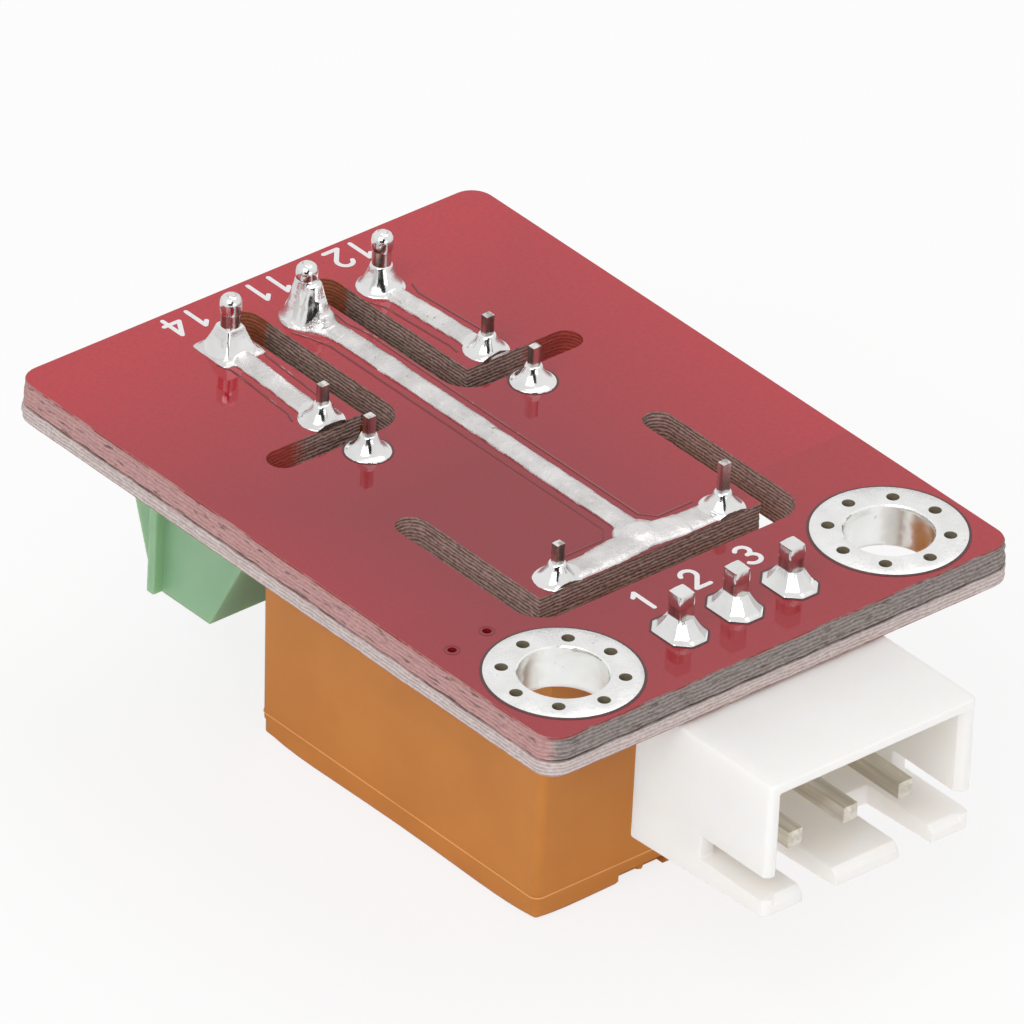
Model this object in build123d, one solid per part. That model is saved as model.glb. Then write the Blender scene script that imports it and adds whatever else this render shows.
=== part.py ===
from build123d import *
import math
import os

# Relay module: a circuit board lying solder side up on the case of its relay.
# X runs from the screw terminals (minus) to the signal header (plus), Z is up.
# The origin is the centre of the footprint, on the surface that the relay rests on.
# Every size is in millimetres.

# Circuit board
board_width = 21.6
board_thickness = 1.6
board_corner = 1.0
header_overhang = 4.7          # how far the signal header stands out over the board's edge
header_row_inset = 2.8         # from the header edge of the board to the signal pins
mount_hole_inset = 3.2         # from the header edge of the board to the mounting holes
mount_side_inset = 3.3         # from the sides of the board to the mounting holes
mount_hole_radius = 1.6
ring_outer_radius = 2.8
ring_height = 0.05             # how far the plated ring stands over the laminate
ring_wall = 0.05
ring_via_count = 8
ring_via_circle = 2.15
ring_via_radius = 0.27
hole_room = 0.14               # radial room round a pin in its plated hole
small_hole_sides = 6           # vias and filled pin holes are cut with this many sides
slot_width = 1.2
slot_corner = 0.6              # of a slot's centre line
terminal_slot_reach = 1.7      # from the terminal pins back to the end of their slots
terminal_slot_shift = 0.1      # from midway between two terminals to the slot there
contact_slot_step = 1.15       # from the contact pins to the slot behind them
contact_slot_reach = 3.34      # how far that slot runs out beyond the pins
common_slot_step = 1.2         # from the common pins to the slot behind them
common_slot_clear = 1.89       # how far out beyond the pins that slot turns back
common_slot_end = 0.2          # from the middle of the relay to the ends of that slot
cutter_excess = 4.0            # how far a cutting solid runs past the board

# Relay
relay_length = 15.5
relay_width = 10.5
relay_height = 11.8
relay_wall = 0.65
relay_top_wall = 0.7
relay_draft = 1.2              # degrees, on every side of the case
relay_corner = 0.35
relay_parting = 0.75           # height of the mould line over the resting face
relay_parting_inset = 0.04
relay_common_inset = 7.85      # from the header edge of the board to the common pins
relay_end_inset = 1.4          # from the ends of the case to the outer pin rows
relay_side_inset = 1.44        # from the sides of the case to the pins
relay_contact_step = 2.54      # between the contact pins and the coil pins
relay_pin_width = 0.36
relay_pin_depth = 0.3
relay_pin_stand = 1.55         # how far a relay pin stands over the solder face
base_recess = 0.3              # from the board to the underside of the relay's base
base_thickness = 1.0
inner_fit = 0.05
relay_edge = 0.2               # chamfer round the face that the relay rests on
notch_width = 2.2              # gate notch in the end of the case nearest the header
notch_depth = 0.5
far_common_stand = 1.95        # one common pin stands higher than the rest

# Relay's electromagnet
core_radius = 1.1
core_head_inset = 1.3          # from the edge of a bobbin flange in to the pole head
core_head_thickness = 0.6
bobbin_side_room = 2.7         # what the relay's height leaves above and below the bobbin
bobbin_flange_thickness = 0.5
bobbin_wall = 0.35
winding_inset = 0.25           # from the edge of a bobbin flange in to the winding
yoke_thickness = 0.9
yoke_width = 6.0
yoke_bend = 0.54               # outside radius where the yoke is bent
armature_thickness = 0.7
armature_width = 5.6
armature_gap = 0.34            # open gap between armature and pole
leaf_thickness = 0.15
leaf_width = 3.0
contact_radius = 0.6
contact_thickness = 0.3
contact_room = 0.55            # from the armature's free end down to the contact rivets
contact_rest_gap = 0.03
pole_rest_gap = 0.04           # left between armature and pole when the coil is on
hinge_gap = 0.04
armature_overlap = 0.2         # how far the armature reaches past the pole head
leaf_lift = 0.1                # room between the leaf and the top of the yoke
leaf_room = 1.1                # room over the leaf, for its swing
leaf_reach = 3.6               # how far the bent end of the leaf runs over the yoke
strip_thickness = 0.3
strip_width = 0.8
strap_drop = 1.2               # how far the common strap reaches down the yoke
lug_wall = 0.35
lug_height = 1.6

# Terminal block
terminal_ways = 3
terminal_pitch = 3.5
terminal_relay_gap = 0.33      # between the relay and the terminal block
terminal_edge_gap = 0.17       # from the wire entry face to the edge of the board
terminal_height = 8.55
terminal_front = 3.13          # from the pin row to the wire entry face
terminal_back = 3.72           # from the pin row to the back face
terminal_entry_height = 4.4    # straight part of the wire entry face, from the board
terminal_back_height = 4.3     # straight part of the back face, from the board
terminal_top_front = 1.6       # from the pin row to the front edge of the screw face
terminal_top_back = 1.58       # from the pin row to the back edge of the screw face
terminal_rib_depth = 0.5
terminal_rib_width = 0.4
terminal_pin_radius = 0.36
terminal_pin_stand = 2.3
wire_entry_radius = 1.05
screw_radius = 0.9
screw_head_radius = 1.25
screw_head_thickness = 0.9
screw_head_recess = 0.2
screw_slot_width = 0.5
screw_slot_depth = 0.5
screw_pitch = 0.4
screw_turns = 4
screw_running_fit = 0.05
shoulder_thickness = 0.45      # plastic between a screw head and its cage
cage_length = 2.9
cage_width = 2.6
cage_top_room = 0.45           # left over a cage when its screw has drawn it right up
cage_side_wall = 0.3
cage_floor = 0.45
cage_thread_wall = 0.7
cage_lift_off = 0.95           # from the board to the cage when it is fully open
cage_room = 0.1
terminal_edge_chamfer = 0.1
rib_step = 0.1                 # from the front of a cage to the joining rib
funnel = 0.3
screw_tip_room = 0.15
blade_thickness = 0.5
blade_height = 3.5             # from the board to the clamping blade
blade_width = 1.4
foot_height = 0.2

# Signal header
header_ways = 3
header_pitch = 2.54
header_side_room = 2.21        # from the outer pins to the sides of the shroud
header_lift = 0.06             # the shroud stands this far off the board, clear of the plating
header_height = 5.8
header_taper = 0.36            # how much lower the shroud is at its mouth
header_wall = 0.65
header_back_wall = 2.2
header_mouth_chamfer = 0.25
header_pin_width = 0.64
header_pin_axis = 3.5          # from the board to the axis of the mating pins
header_pin_stand = 1.75
header_pin_setback = 0.9       # from the mouth back to the pin tips
header_pin_clear = 0.05
header_pin_bend = 0.5
header_tip_chamfer = 0.12
shroud_edge = 0.15
prong_slot_width = 1.54
prong_slot_place = 2.23        # from the centre line to each slot between prongs
prong_slot_length = 3.4
side_gap = 0.95                # free height between a side wall and the prongs

# Solder
waist_height = 0.3             # of a joint's waist, as a share of its height
waist_share = 0.62             # width of a joint at its waist, as a share of its pad
round_cut = 0.29               # corner cut of an eight-sided pad, as a share of its width
square_cut = 0.06
pin_tip_chamfer = 0.08
joint_height = 0.85
joint_pad = 1.76
terminal_joint_height = 1.0
terminal_pad = 1.9
common_cone_height = 2.0
header_pad_width = 1.7
header_pad_length = 2.2
header_joint_height = 0.9
track_width = 0.9
track_height = 0.2
track_top_share = 0.6          # width of a track's flat top, as a share of its width
common_arm_width = 1.25
common_track_offset = 0.3      # the common track runs beside the board's centre line
common_track_bend = 1.9        # from the common terminal to the bend in its track

# Small parts on the component side
transistor_size = (2.9, 1.3, 1.0)
diode_size = (2.7, 1.6, 1.1)
chip_size = (2.0, 1.25, 0.5)
led_size = (2.0, 1.25, 0.8)
chip_bevel = 0.12
cap_length = 0.4
cap_proud = 0.03
lead_lift = 0.1                # from the board to the underside of a moulded body
lead_reach = 0.5
lead_width = 0.4
lead_thickness = 0.12
transistor_place = (3.5, 2.9)  # small parts: from the relay's middle and from the board's side
diode_place = (-2.7, 2.9)
base_resistor_place = (6.7, 2.2)
led_resistor_place = (1.5, 2.9)
led_place = (6.1, 2.6)

# Places worked out from the sizes above
pins_span = relay_length - 2 * relay_end_inset
terminal_width = terminal_ways * terminal_pitch
terminal_row_inset = (relay_common_inset + pins_span + relay_end_inset + terminal_relay_gap +
                      terminal_back)
board_length = terminal_row_inset + terminal_front + terminal_edge_gap
header_front = (board_length + header_overhang) / 2
header_edge = header_front - header_overhang
terminal_edge = header_edge - board_length
board_bottom = relay_height
board_top = board_bottom + board_thickness
header_row = header_edge - header_row_inset
mount_row = header_edge - mount_hole_inset
common_row = header_edge - relay_common_inset
contact_row = common_row - pins_span
coil_row = contact_row + relay_contact_step
relay_centre = (common_row + contact_row) / 2
terminal_row = header_edge - terminal_row_inset
pin_y = relay_width / 2 - relay_side_inset
joint_y = board_width / 2 - mount_side_inset
header_width = (header_ways - 1) * header_pitch + 2 * header_side_room
bobbin_flange = relay_height - 2 * bobbin_side_room
core_head_radius = bobbin_flange / 2 - core_head_inset
yoke_top = relay_height - base_recess - base_thickness - leaf_room - leaf_thickness - leaf_lift
coil_axis_height = yoke_top - yoke_thickness - inner_fit - bobbin_flange / 2
armature_low = coil_axis_height - core_head_radius - armature_overlap
contact_height = armature_low - contact_room - contact_radius


def under(depth):
    """Height of a level that lies this far below the board's component face."""
    return board_bottom - depth


def block(x0, x1, y0, y1, z0, z1):
    """A plain rectangular solid between its lowest and highest corners."""
    corner = Box(x1 - x0, y1 - y0, z1 - z0, align=(Align.MIN, Align.MIN, Align.MIN))
    return Pos(x0, y0, z0) * corner


def post(x, y, z0, z1, radius):
    """An upright round solid."""
    return Pos(x, y, z0) * Cylinder(radius, z1 - z0, align=(Align.CENTER, Align.CENTER, Align.MIN))


def sided_post(x, y, z0, z1, radius):
    """An upright solid with a few flat sides, for small holes and what fills them."""
    return Pos(x, y, z0) * extrude(RegularPolygon(radius, small_hole_sides), amount=z1 - z0)


def side_profile(points, y0, y1):
    """A solid whose outline lies in the XZ plane and which runs along Y."""
    outline = make_face(Polyline([(x, 0, z) for x, z in points], close=True))
    return Pos(0, y0, 0) * extrude(outline, amount=y1 - y0, dir=(0, 1, 0))


def terminal_place(way):
    """Distance of a screw terminal from the board's centre line."""
    return (way - (terminal_ways - 1) / 2) * terminal_pitch


def header_place(way):
    """Distance of a signal pin from the board's centre line."""
    return (way - (header_ways - 1) / 2) * header_pitch


def hang(x0, x1, y0, y1, depth0, depth1):
    """A plain solid under the board, between two depths below its component face."""
    return block(x0, x1, y0, y1, under(depth1), under(depth0))


def slot_paths():
    """Centre lines of the three milled slots that keep the switched circuit apart."""
    end = slot_width / 2
    leg_x = contact_row + contact_slot_step
    start_x = terminal_row - terminal_slot_reach + end
    start_y = terminal_pitch / 2 + terminal_slot_shift
    beside = [(start_x, start_y), (leg_x, start_y), (leg_x, pin_y + contact_slot_reach - end)]
    far_x = common_row + common_slot_step
    back_x = relay_centre + common_slot_end + end
    y = pin_y + common_slot_clear
    around = [(back_x, -y), (far_x, -y), (far_x, y), (back_x, y)]
    return [[(x, -y) for x, y in beside], beside, around]


def milled_slots():
    """The three slots as solids, taller than the board and everything soldered on it."""
    slots = []
    for points in slot_paths():
        path = FilletPolyline(*points, radius=slot_corner)
        outline = make_face(offset(path, amount=slot_width / 2))
        slots.append(Pos(0, 0, board_bottom - 1) *
                     extrude(outline, amount=board_thickness + cutter_excess))
    return slots


def ring_vias(side):
    """The small plated holes round one mounting hole."""
    vias = []
    for index in range(ring_via_count):
        angle = 2 * math.pi * index / ring_via_count
        x = mount_row + ring_via_circle * math.cos(angle)
        y = side * joint_y + ring_via_circle * math.sin(angle)
        vias.append(sided_post(x, y, board_bottom - 1, board_top + 1, ring_via_radius))
    return vias


def mounting_ring(side):
    """Tinned plating of a mounting hole: a barrel with a flat ring on both faces."""
    y = side * joint_y
    ring = post(mount_row, y, board_bottom - ring_height, board_bottom, ring_outer_radius)
    ring += post(mount_row, y, board_top, board_top + ring_height, ring_outer_radius)
    ring += post(mount_row, y, board_bottom, board_top, mount_hole_radius + ring_wall)
    ring -= post(mount_row, y, board_bottom - 1, board_top + 1, mount_hole_radius)
    return ring - ring_vias(side)


def relay_pin_places():
    """Every relay pin as row, side."""
    rows = (common_row, coil_row, contact_row)
    return [(row, side * pin_y) for row in rows for side in (-1, 1)]


def relay_hole():
    return math.hypot(relay_pin_width, relay_pin_depth) / 2 + hole_room


def header_hole():
    return math.hypot(header_pin_width, header_pin_width) / 2 + hole_room


def terminal_hole():
    return terminal_pin_radius + hole_room


def circuit_board():
    """The laminate with its slots, mounting holes and plated pin holes."""
    centre = (header_edge + terminal_edge) / 2
    outline = Pos(centre, 0, board_bottom) * RectangleRounded(board_length, board_width, board_corner)
    board = extrude(outline, amount=board_thickness)
    board -= milled_slots()
    low, high = board_bottom - 1, board_top + 1
    for side in (-1, 1):
        board -= post(mount_row, side * joint_y, low, high, mount_hole_radius + ring_wall)
        board -= ring_vias(side)
    for x, y in relay_pin_places():
        board -= sided_post(x, y, low, high, relay_hole())
    for way in range(terminal_ways):
        board -= sided_post(terminal_row, terminal_place(way), low, high, terminal_hole())
    for way in range(header_ways):
        board -= sided_post(header_row, header_place(way), low, high, header_hole())
    return board


def relay_pin(x, y, bottom, stand=relay_pin_stand):
    """A flat relay pin from a level inside the case up through the board."""
    half_depth, half_width = relay_pin_depth / 2, relay_pin_width / 2
    top = board_top + stand
    pin = block(x - half_depth, x + half_depth, y - half_width, y + half_width, bottom, top)
    return chamfer(pin.edges().group_by(Axis.Z)[-1], pin_tip_chamfer)


def pad_corners(length, width, cut):
    """Corners of a rectangle with cut corners, in turn; the cut is a share of its width."""
    corners = []
    for x, y in ((1, 1), (-1, 1), (-1, -1), (1, -1)):
        along_x = (x * (length / 2 - width * cut), y * width / 2)
        along_y = (x * length / 2, y * (width / 2 - width * cut))
        corners += [along_y, along_x] if x == y else [along_x, along_y]
    return corners


def stepped_solid(x, y, levels):
    """A flat-sided solid on the board through levels of height, length, width and corner cut."""
    rings = [[(x + px, y + py, board_top + height) for px, py in pad_corners(*pad)]
             for height, *pad in levels]
    faces = [make_face(Polyline(ring, close=True)) for ring in (rings[0], rings[-1])]
    for low, high in zip(rings, rings[1:]):
        for index in range(len(low)):
            side = (low[index - 1], low[index], high[index], high[index - 1])
            faces.append(make_face(Polyline(side, close=True)))
    return Solid(Shell(faces))


def solder_joint(x, y, length, width, height, tip_radius, cut=round_cut):
    """A soldered joint whose sides bend inwards, and the plug that fills its hole."""
    tip = tip_radius * 2
    joint = stepped_solid(x, y, [
        (0, length, width, cut),
        (height * waist_height, length * waist_share, width * waist_share, cut),
        (height, tip, tip, cut)])
    return joint + sided_post(x, y, board_bottom, board_top, tip_radius)


def solder_bar(x0, y0, x1, y1, width):
    """A straight run of solder with sloping sides."""
    low, high = width / 2, width / 2 * track_top_share
    run = (x1 - x0, y1 - y0, 0)
    across = (y0 - y1, x1 - x0, 0)
    section = make_face(Polyline((-low, 0), (-high, track_height), (high, track_height), (low, 0),
                                 close=True))
    start = Plane(origin=(x0, y0, board_top), x_dir=across, z_dir=run)
    return extrude(start * section, amount=math.hypot(*run), dir=run)


def track_corner(x, y, width):
    """Fills out the corner where two runs of solder meet."""
    top = width * track_top_share
    return stepped_solid(x, y, [(0, width, width, round_cut), (track_height, top, top, round_cut)])


def trim(solder, pins):
    """Solder with its pins' places left free and without what the slots cut away."""
    return solder - pins - milled_slots()


def relay_joint(x, side):
    """The joint on one relay pin."""
    return solder_joint(x, side * pin_y, joint_pad, joint_pad, joint_height, relay_hole())


def common_track():
    """The wide solder-flooded track from the common terminal to both common relay pins."""
    bend_x = terminal_row + common_track_bend
    y = common_track_offset
    solder = solder_bar(terminal_row, 0, bend_x, y, track_width)
    solder += track_corner(bend_x, y, track_width)
    solder += solder_bar(bend_x, y, common_row, y, track_width)
    solder += track_corner(common_row, y, common_arm_width)
    for side in (-1, 1):
        solder += solder_bar(common_row, y, common_row, side * pin_y, common_arm_width)
        solder += relay_joint(common_row, side)
    return solder + solder_joint(terminal_row, 0, terminal_pad, terminal_pad, common_cone_height,
                                 terminal_hole())


def contact_track(side):
    """The short flooded track from an outer terminal to its relay pin."""
    y = side * terminal_pitch
    solder = solder_bar(terminal_row, y, contact_row, side * pin_y, track_width)
    solder += relay_joint(contact_row, side)
    cut = square_cut if side < 0 else round_cut
    return solder + solder_joint(terminal_row, y, terminal_pad, terminal_pad, terminal_joint_height,
                                 terminal_hole(), cut)


def case_half(height, inset):
    """Half length and half width of the drafted case at a height over its face, less an inset."""
    lost = (relay_height - height) * math.tan(math.radians(relay_draft)) + inset
    return relay_length / 2 - lost, relay_width / 2 - lost


def case_block(low, high, inset, corner=0):
    """A drafted solid of the case's outline between two heights, with or without round corners."""
    sections = []
    for height in (low, high):
        half_length, half_width = case_half(height, inset)
        outline = Rectangle(2 * half_length, 2 * half_width)
        if corner:
            outline = fillet(outline.vertices(), corner)
        sections.append(Pos(relay_centre, 0, height) * outline)
    return loft(sections, ruled=True)


def relay_cover():
    """The moulded case: drafted, open towards the board, with a step at its mould line."""
    lower = case_block(0, relay_parting, relay_parting_inset, relay_corner)
    lower = chamfer(lower.edges().group_by(Axis.Z)[0], relay_edge)
    cover = lower + case_block(relay_parting, relay_height, 0, relay_corner)
    cover -= case_block(relay_top_wall, relay_height, relay_wall)
    end = relay_centre + case_half(0, 0)[0]
    half = notch_width / 2
    cover -= block(end - notch_depth, end + 1, -half, half, -1, notch_depth)
    nib = sided_post(end - notch_depth / 2, 0, notch_depth / 2, notch_depth, notch_depth / 3)
    return cover + nib


def relay_base(pins):
    """The plug that closes the case and carries every pin."""
    low = under(base_recess + base_thickness)
    return case_block(low, under(base_recess), relay_wall + inner_fit) - pins


def strip_plane():
    """X of the outer face of the contact strips, which stand in the row of contact pins."""
    return contact_row + relay_pin_depth / 2


def leaf_outer():
    """X of the face of the spring leaf that looks at the closed contact."""
    return strip_plane() + 2 * contact_thickness + contact_rest_gap


def armature_inner():
    """X of the armature's face that looks at the pole."""
    return leaf_outer() + leaf_thickness + armature_thickness


def pole_face():
    return armature_inner() + armature_gap


def yoke_inner():
    """X of the yoke's upright face behind the coil."""
    return common_row - relay_pin_depth / 2 - yoke_thickness


def yoke_bottom():
    """Height of the side of the yoke that faces the coil."""
    return yoke_top - yoke_thickness


def along(x0, x1, radius):
    """A round solid along the coil's axis."""
    bar = Cylinder(radius, x1 - x0, align=(Align.CENTER, Align.CENTER, Align.MIN))
    return Pos(x0, 0, coil_axis_height) * Rot(0, 90, 0) * bar


def iron_core():
    """The core with its pole head; its far end is riveted in the yoke."""
    head = along(pole_face(), pole_face() + core_head_thickness, core_head_radius)
    return head + along(pole_face(), yoke_inner() + yoke_thickness, core_radius)


def coil_bobbin(pins):
    """The spool between pole head and yoke, with a lug for each coil pin."""
    start = pole_face() + core_head_thickness
    end = yoke_inner() - inner_fit
    half = bobbin_flange / 2
    low, high = coil_axis_height - half, coil_axis_height + half
    spool = block(start, start + bobbin_flange_thickness, -half, half, low, high)
    spool += block(end - bobbin_flange_thickness, end, -half, half, low, high)
    spool += along(start, end, core_radius + inner_fit + bobbin_wall)
    for side in (-1, 1):
        edge = sorted((side * half, side * (pin_y + lug_wall)))
        spool += block(coil_row - lug_wall, start + bobbin_flange_thickness, *edge,
                       high - lug_height, high + lug_height / 2)
    return spool - along(start - 1, end + 1, core_radius + inner_fit) - pins


def coil_winding():
    """The copper winding as one solid, which nearly fills the spool."""
    start = pole_face() + core_head_thickness + bobbin_flange_thickness
    end = yoke_inner() - inner_fit - bobbin_flange_thickness
    inner = core_radius + inner_fit + bobbin_wall
    return along(start, end, bobbin_flange / 2 - winding_inset) - along(start, end, inner)


def iron_yoke():
    """The L of flat iron that carries the field from the core's far end to the armature."""
    bottom = yoke_bottom()
    inner = yoke_inner()
    half = yoke_width / 2
    low = coil_axis_height - bobbin_flange / 2
    yoke = block(inner, inner + yoke_thickness, -half, half, low, yoke_top)
    yoke += block(armature_inner() + hinge_gap, inner, -half, half, bottom, yoke_top)
    outer = yoke.edges().filter_by(Axis.Y).sort_by(lambda edge: edge.center().X + edge.center().Z)[-1]
    yoke = fillet(outer, yoke_bend)
    return yoke - along(inner - 1, inner + yoke_thickness + 1, core_radius)


def armature():
    """The flat iron that the pole pulls in."""
    half = armature_width / 2
    outer = leaf_outer() + leaf_thickness
    return block(outer, armature_inner(), -half, half, armature_low, yoke_top)


def contact_spring():
    """The spring leaf, bent over the yoke, with the moving contact riveted through its tongue."""
    outer = leaf_outer()
    inner = outer + leaf_thickness
    top = yoke_top + leaf_lift
    half = leaf_width / 2
    tongue_low = contact_height - contact_radius - leaf_thickness
    leaf = block(outer, inner, -half, half, contact_height + contact_radius, top + leaf_thickness)
    leaf += block(outer, inner, -contact_radius, contact_radius, tongue_low, top)
    leaf += block(outer, outer + leaf_reach, -half, half, top, top + leaf_thickness)
    rivet = Cylinder(contact_radius, leaf_thickness + 2 * contact_thickness)
    return leaf + Pos((outer + inner) / 2, 0, contact_height) * Rot(0, 90, 0) * rivet


def fixed_rivet(x0, x1):
    """A contact rivet along X at the height of the moving contact."""
    rivet = Cylinder(contact_radius, x1 - x0)
    return Pos((x0 + x1) / 2, 0, contact_height) * Rot(0, 90, 0) * rivet


def strip_leg(side):
    """The upright of a contact strip, from its pin down to the moving contact's height."""
    half_depth = relay_pin_depth / 2
    y0, y1 = sorted((side * (pin_y - strip_width / 2), side * (pin_y + strip_width / 2)))
    low = contact_height - strip_width / 2
    high = under(base_recess + base_thickness)
    return block(contact_row - half_depth, contact_row + half_depth, y0, y1, low, high)


def closed_contact():
    """The contact that the leaf rests on while the coil is off, with its strip and pin."""
    low, high = contact_height - strip_width / 2, contact_height + strip_width / 2
    strip = strip_leg(1)
    strip += block(strip_plane() - relay_pin_depth, strip_plane(), -contact_radius, pin_y, low, high)
    strip += fixed_rivet(strip_plane(), strip_plane() + contact_thickness)
    return strip + relay_pin(contact_row, pin_y, under(base_recess + base_thickness))


def open_contact():
    """The contact that the leaf meets when the coil is on; its strip reaches round the leaf."""
    low, high = contact_height - strip_width / 2, contact_height + strip_width / 2
    face = leaf_outer() + leaf_thickness + contact_thickness + contact_travel()
    back = face + contact_thickness
    strip = strip_leg(-1)
    edge = -(pin_y + strip_width / 2)
    strip += block(strip_plane() - relay_pin_depth, back + strip_thickness,
                   edge, edge + strip_thickness, low, high)
    strip += block(back, back + strip_thickness, edge, contact_radius, low, high)
    strip += fixed_rivet(face, back)
    return strip + relay_pin(contact_row, -pin_y, under(base_recess + base_thickness))


def contact_travel():
    """Room for the moving contact's lower edge while the armature closes its gap."""
    pole_arm = yoke_bottom() - coil_axis_height + core_head_radius
    contact_arm = yoke_bottom() - contact_height + contact_radius
    return (armature_gap - pole_rest_gap) * contact_arm / pole_arm + contact_rest_gap


def common_terminal():
    """A cross strap welded to the yoke, with the two common pins."""
    half_depth = relay_pin_depth / 2
    reach = pin_y + relay_pin_width / 2
    strap_low = yoke_bottom() - strap_drop
    strap = block(common_row - half_depth, common_row + half_depth, -reach, reach,
                  strap_low, under(base_recess + base_thickness))
    strap -= block(common_row - half_depth, common_row + half_depth, -pin_y + strip_width,
                   pin_y - strip_width, yoke_top, relay_height)
    near = relay_pin(common_row, -pin_y, yoke_bottom())
    return strap + near + relay_pin(common_row, pin_y, yoke_bottom(), far_common_stand)


def coil_pin(side):
    return relay_pin(coil_row, side * pin_y, yoke_bottom() - lug_height / 4)


def terminal_outline():
    """Side outline of the terminal block as X and height, from the board round the screw face."""
    front, back = terminal_row - terminal_front, terminal_row + terminal_back
    face = under(terminal_height)
    return [(front, board_bottom), (front, under(terminal_entry_height)),
            (terminal_row - terminal_top_front, face), (terminal_row + terminal_top_back, face),
            (back, under(terminal_back_height)), (back, board_bottom)]


def head_low():
    """Depth of the flat underside of a screw head below the board."""
    return terminal_height - screw_head_recess - screw_head_thickness


def cage_back():
    return terminal_row + cage_length / 2


def cage_top():
    """Depth of the screw end of a cage below the board, while the terminal is open."""
    return head_low() - shoulder_thickness - cage_top_room - screw_pitch * screw_turns


def terminal_housing():
    """The green block: one cell for each way, open towards the board for the brass parts."""
    half = terminal_width / 2
    housing = side_profile(terminal_outline(), -half, half)
    housing = chamfer(housing.edges().filter_by(Axis.Z), terminal_edge_chamfer)
    rib_x = terminal_row - cage_length / 2 + rib_step
    housing += hang(rib_x, rib_x + terminal_rib_width, -half - terminal_rib_depth, -half,
                    0, terminal_height - terminal_edge_chamfer)
    for way in range(terminal_ways):
        y = terminal_place(way)
        cell = cage_width / 2 + cage_room
        channel = blade_width / 2 + cage_room / 2
        shoulder = head_low() - shoulder_thickness
        housing -= hang(terminal_row - cage_length / 2 - cage_room, cage_back() + cage_room,
                        y - cell, y + cell, 0, shoulder)
        housing -= hang(cage_back(), cage_back() + cage_room + blade_thickness,
                        y - channel, y + channel, 0, blade_height + blade_thickness)
        housing -= post(terminal_row, y, under(terminal_height + 1), under(head_low()),
                        screw_head_radius + cage_room)
        housing -= post(terminal_row, y, under(head_low()), under(shoulder - 1), screw_radius + cage_room)
        housing -= wire_entry(y)
    return housing


def wire_entry(y):
    """The round way in for a wire, with a funnel at its mouth."""
    front = terminal_row - terminal_front
    centre = under((cage_lift_off + cage_floor + blade_height) / 2)
    mouth = Cone(wire_entry_radius + funnel, wire_entry_radius, funnel)
    bore = Cylinder(wire_entry_radius, terminal_front)
    place = Pos(front + funnel / 2, y, centre) * Rot(0, 90, 0)
    return place * mouth + Pos(front + terminal_front / 2, y, centre) * Rot(0, 90, 0) * bore


def clamp_screw(way):
    """A slotted screw that stays in place while it lifts its cage."""
    y = terminal_place(way)
    tip = blade_height + blade_thickness + screw_tip_room
    top = head_low() + screw_head_thickness
    screw = post(terminal_row, y, under(head_low()), under(tip), screw_radius)
    head = post(terminal_row, y, under(top), under(head_low()), screw_head_radius)
    half = screw_slot_width / 2
    slot = hang(terminal_row - screw_head_radius, terminal_row + screw_head_radius,
                y - half, y + half, top - screw_slot_depth, top)
    return screw + head - slot


def clamp_cage(way):
    """The brass box that the screw draws up, open along X for the wire and the blade."""
    y = terminal_place(way)
    half_length, half_width = cage_length / 2, cage_width / 2
    top = cage_top()
    cage = hang(terminal_row - half_length, terminal_row + half_length,
                y - half_width, y + half_width, cage_lift_off, top)
    cage = chamfer(cage.edges().filter_by(Axis.X), cage_side_wall / 2)
    inner = half_width - cage_side_wall
    cage -= hang(terminal_row - half_length, terminal_row + half_length, y - inner, y + inner,
                 cage_lift_off + cage_floor, top - cage_thread_wall)
    bore = post(terminal_row, y, under(top), under(top - cage_thread_wall),
                screw_radius + screw_running_fit)
    return cage - bore


def terminal_contact(way):
    """The tinned strip that a wire is clamped to, folded round its cage down to the pin."""
    y = terminal_place(way)
    half = blade_width / 2
    back = cage_back() + cage_room
    front = terminal_row - cage_length / 2
    contact = hang(front, back + blade_thickness, y - half, y + half,
                   blade_height, blade_height + blade_thickness)
    contact += hang(back, back + blade_thickness, y - half, y + half, foot_height, blade_height)
    contact += hang(terminal_row - half, back, y - half, y + half,
                    foot_height, foot_height + blade_thickness)
    top = board_top + terminal_pin_stand
    pin = post(terminal_row, y, under(foot_height), top, terminal_pin_radius)
    return contact + chamfer(pin.edges().group_by(Axis.Z)[-1], terminal_pin_radius / 2)


def shroud_back():
    """X of the shroud's rear face, just clear of the upright legs of the pins."""
    return header_row + header_pin_width / 2 + header_pin_clear


def header_shroud(pins):
    """The white shroud: a tapered box open at the header end, with three free prongs."""
    rear, half = shroud_back(), header_width / 2
    low, top = under(header_height), under(header_lift)
    outline = [(rear, top), (header_front, top),
               (header_front, low + header_taper), (rear, low)]
    shroud = side_profile(outline, -half, half)
    shroud = chamfer(shroud.edges().filter_by(Axis.Z), shroud_edge)
    inner = half - header_wall
    floor = low + header_taper + header_wall
    shroud -= block(rear + header_back_wall, header_front, -inner, inner, floor, under(header_wall))
    mouth = [Pos(header_front - x, 0, (floor + under(header_wall)) / 2) * Rot(0, 90, 0) *
             Rectangle(under(header_wall) - floor + 2 * grow, 2 * (inner + grow))
             for x, grow in ((header_mouth_chamfer, 0), (0, header_mouth_chamfer))]
    shroud -= loft(mouth, ruled=True)
    gap_start = header_front - prong_slot_length
    for side in (-1, 1):
        y0, y1 = sorted((side * (prong_slot_place - prong_slot_width / 2),
                         side * (prong_slot_place + prong_slot_width / 2)))
        shroud -= block(gap_start, header_front, y0, y1, low - 1, floor)
        y0, y1 = sorted((side * (inner - header_mouth_chamfer), side * (half + 1)))
        shroud -= block(gap_start, header_front, y0, y1, floor, floor + side_gap)
    return shroud - pins


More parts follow.
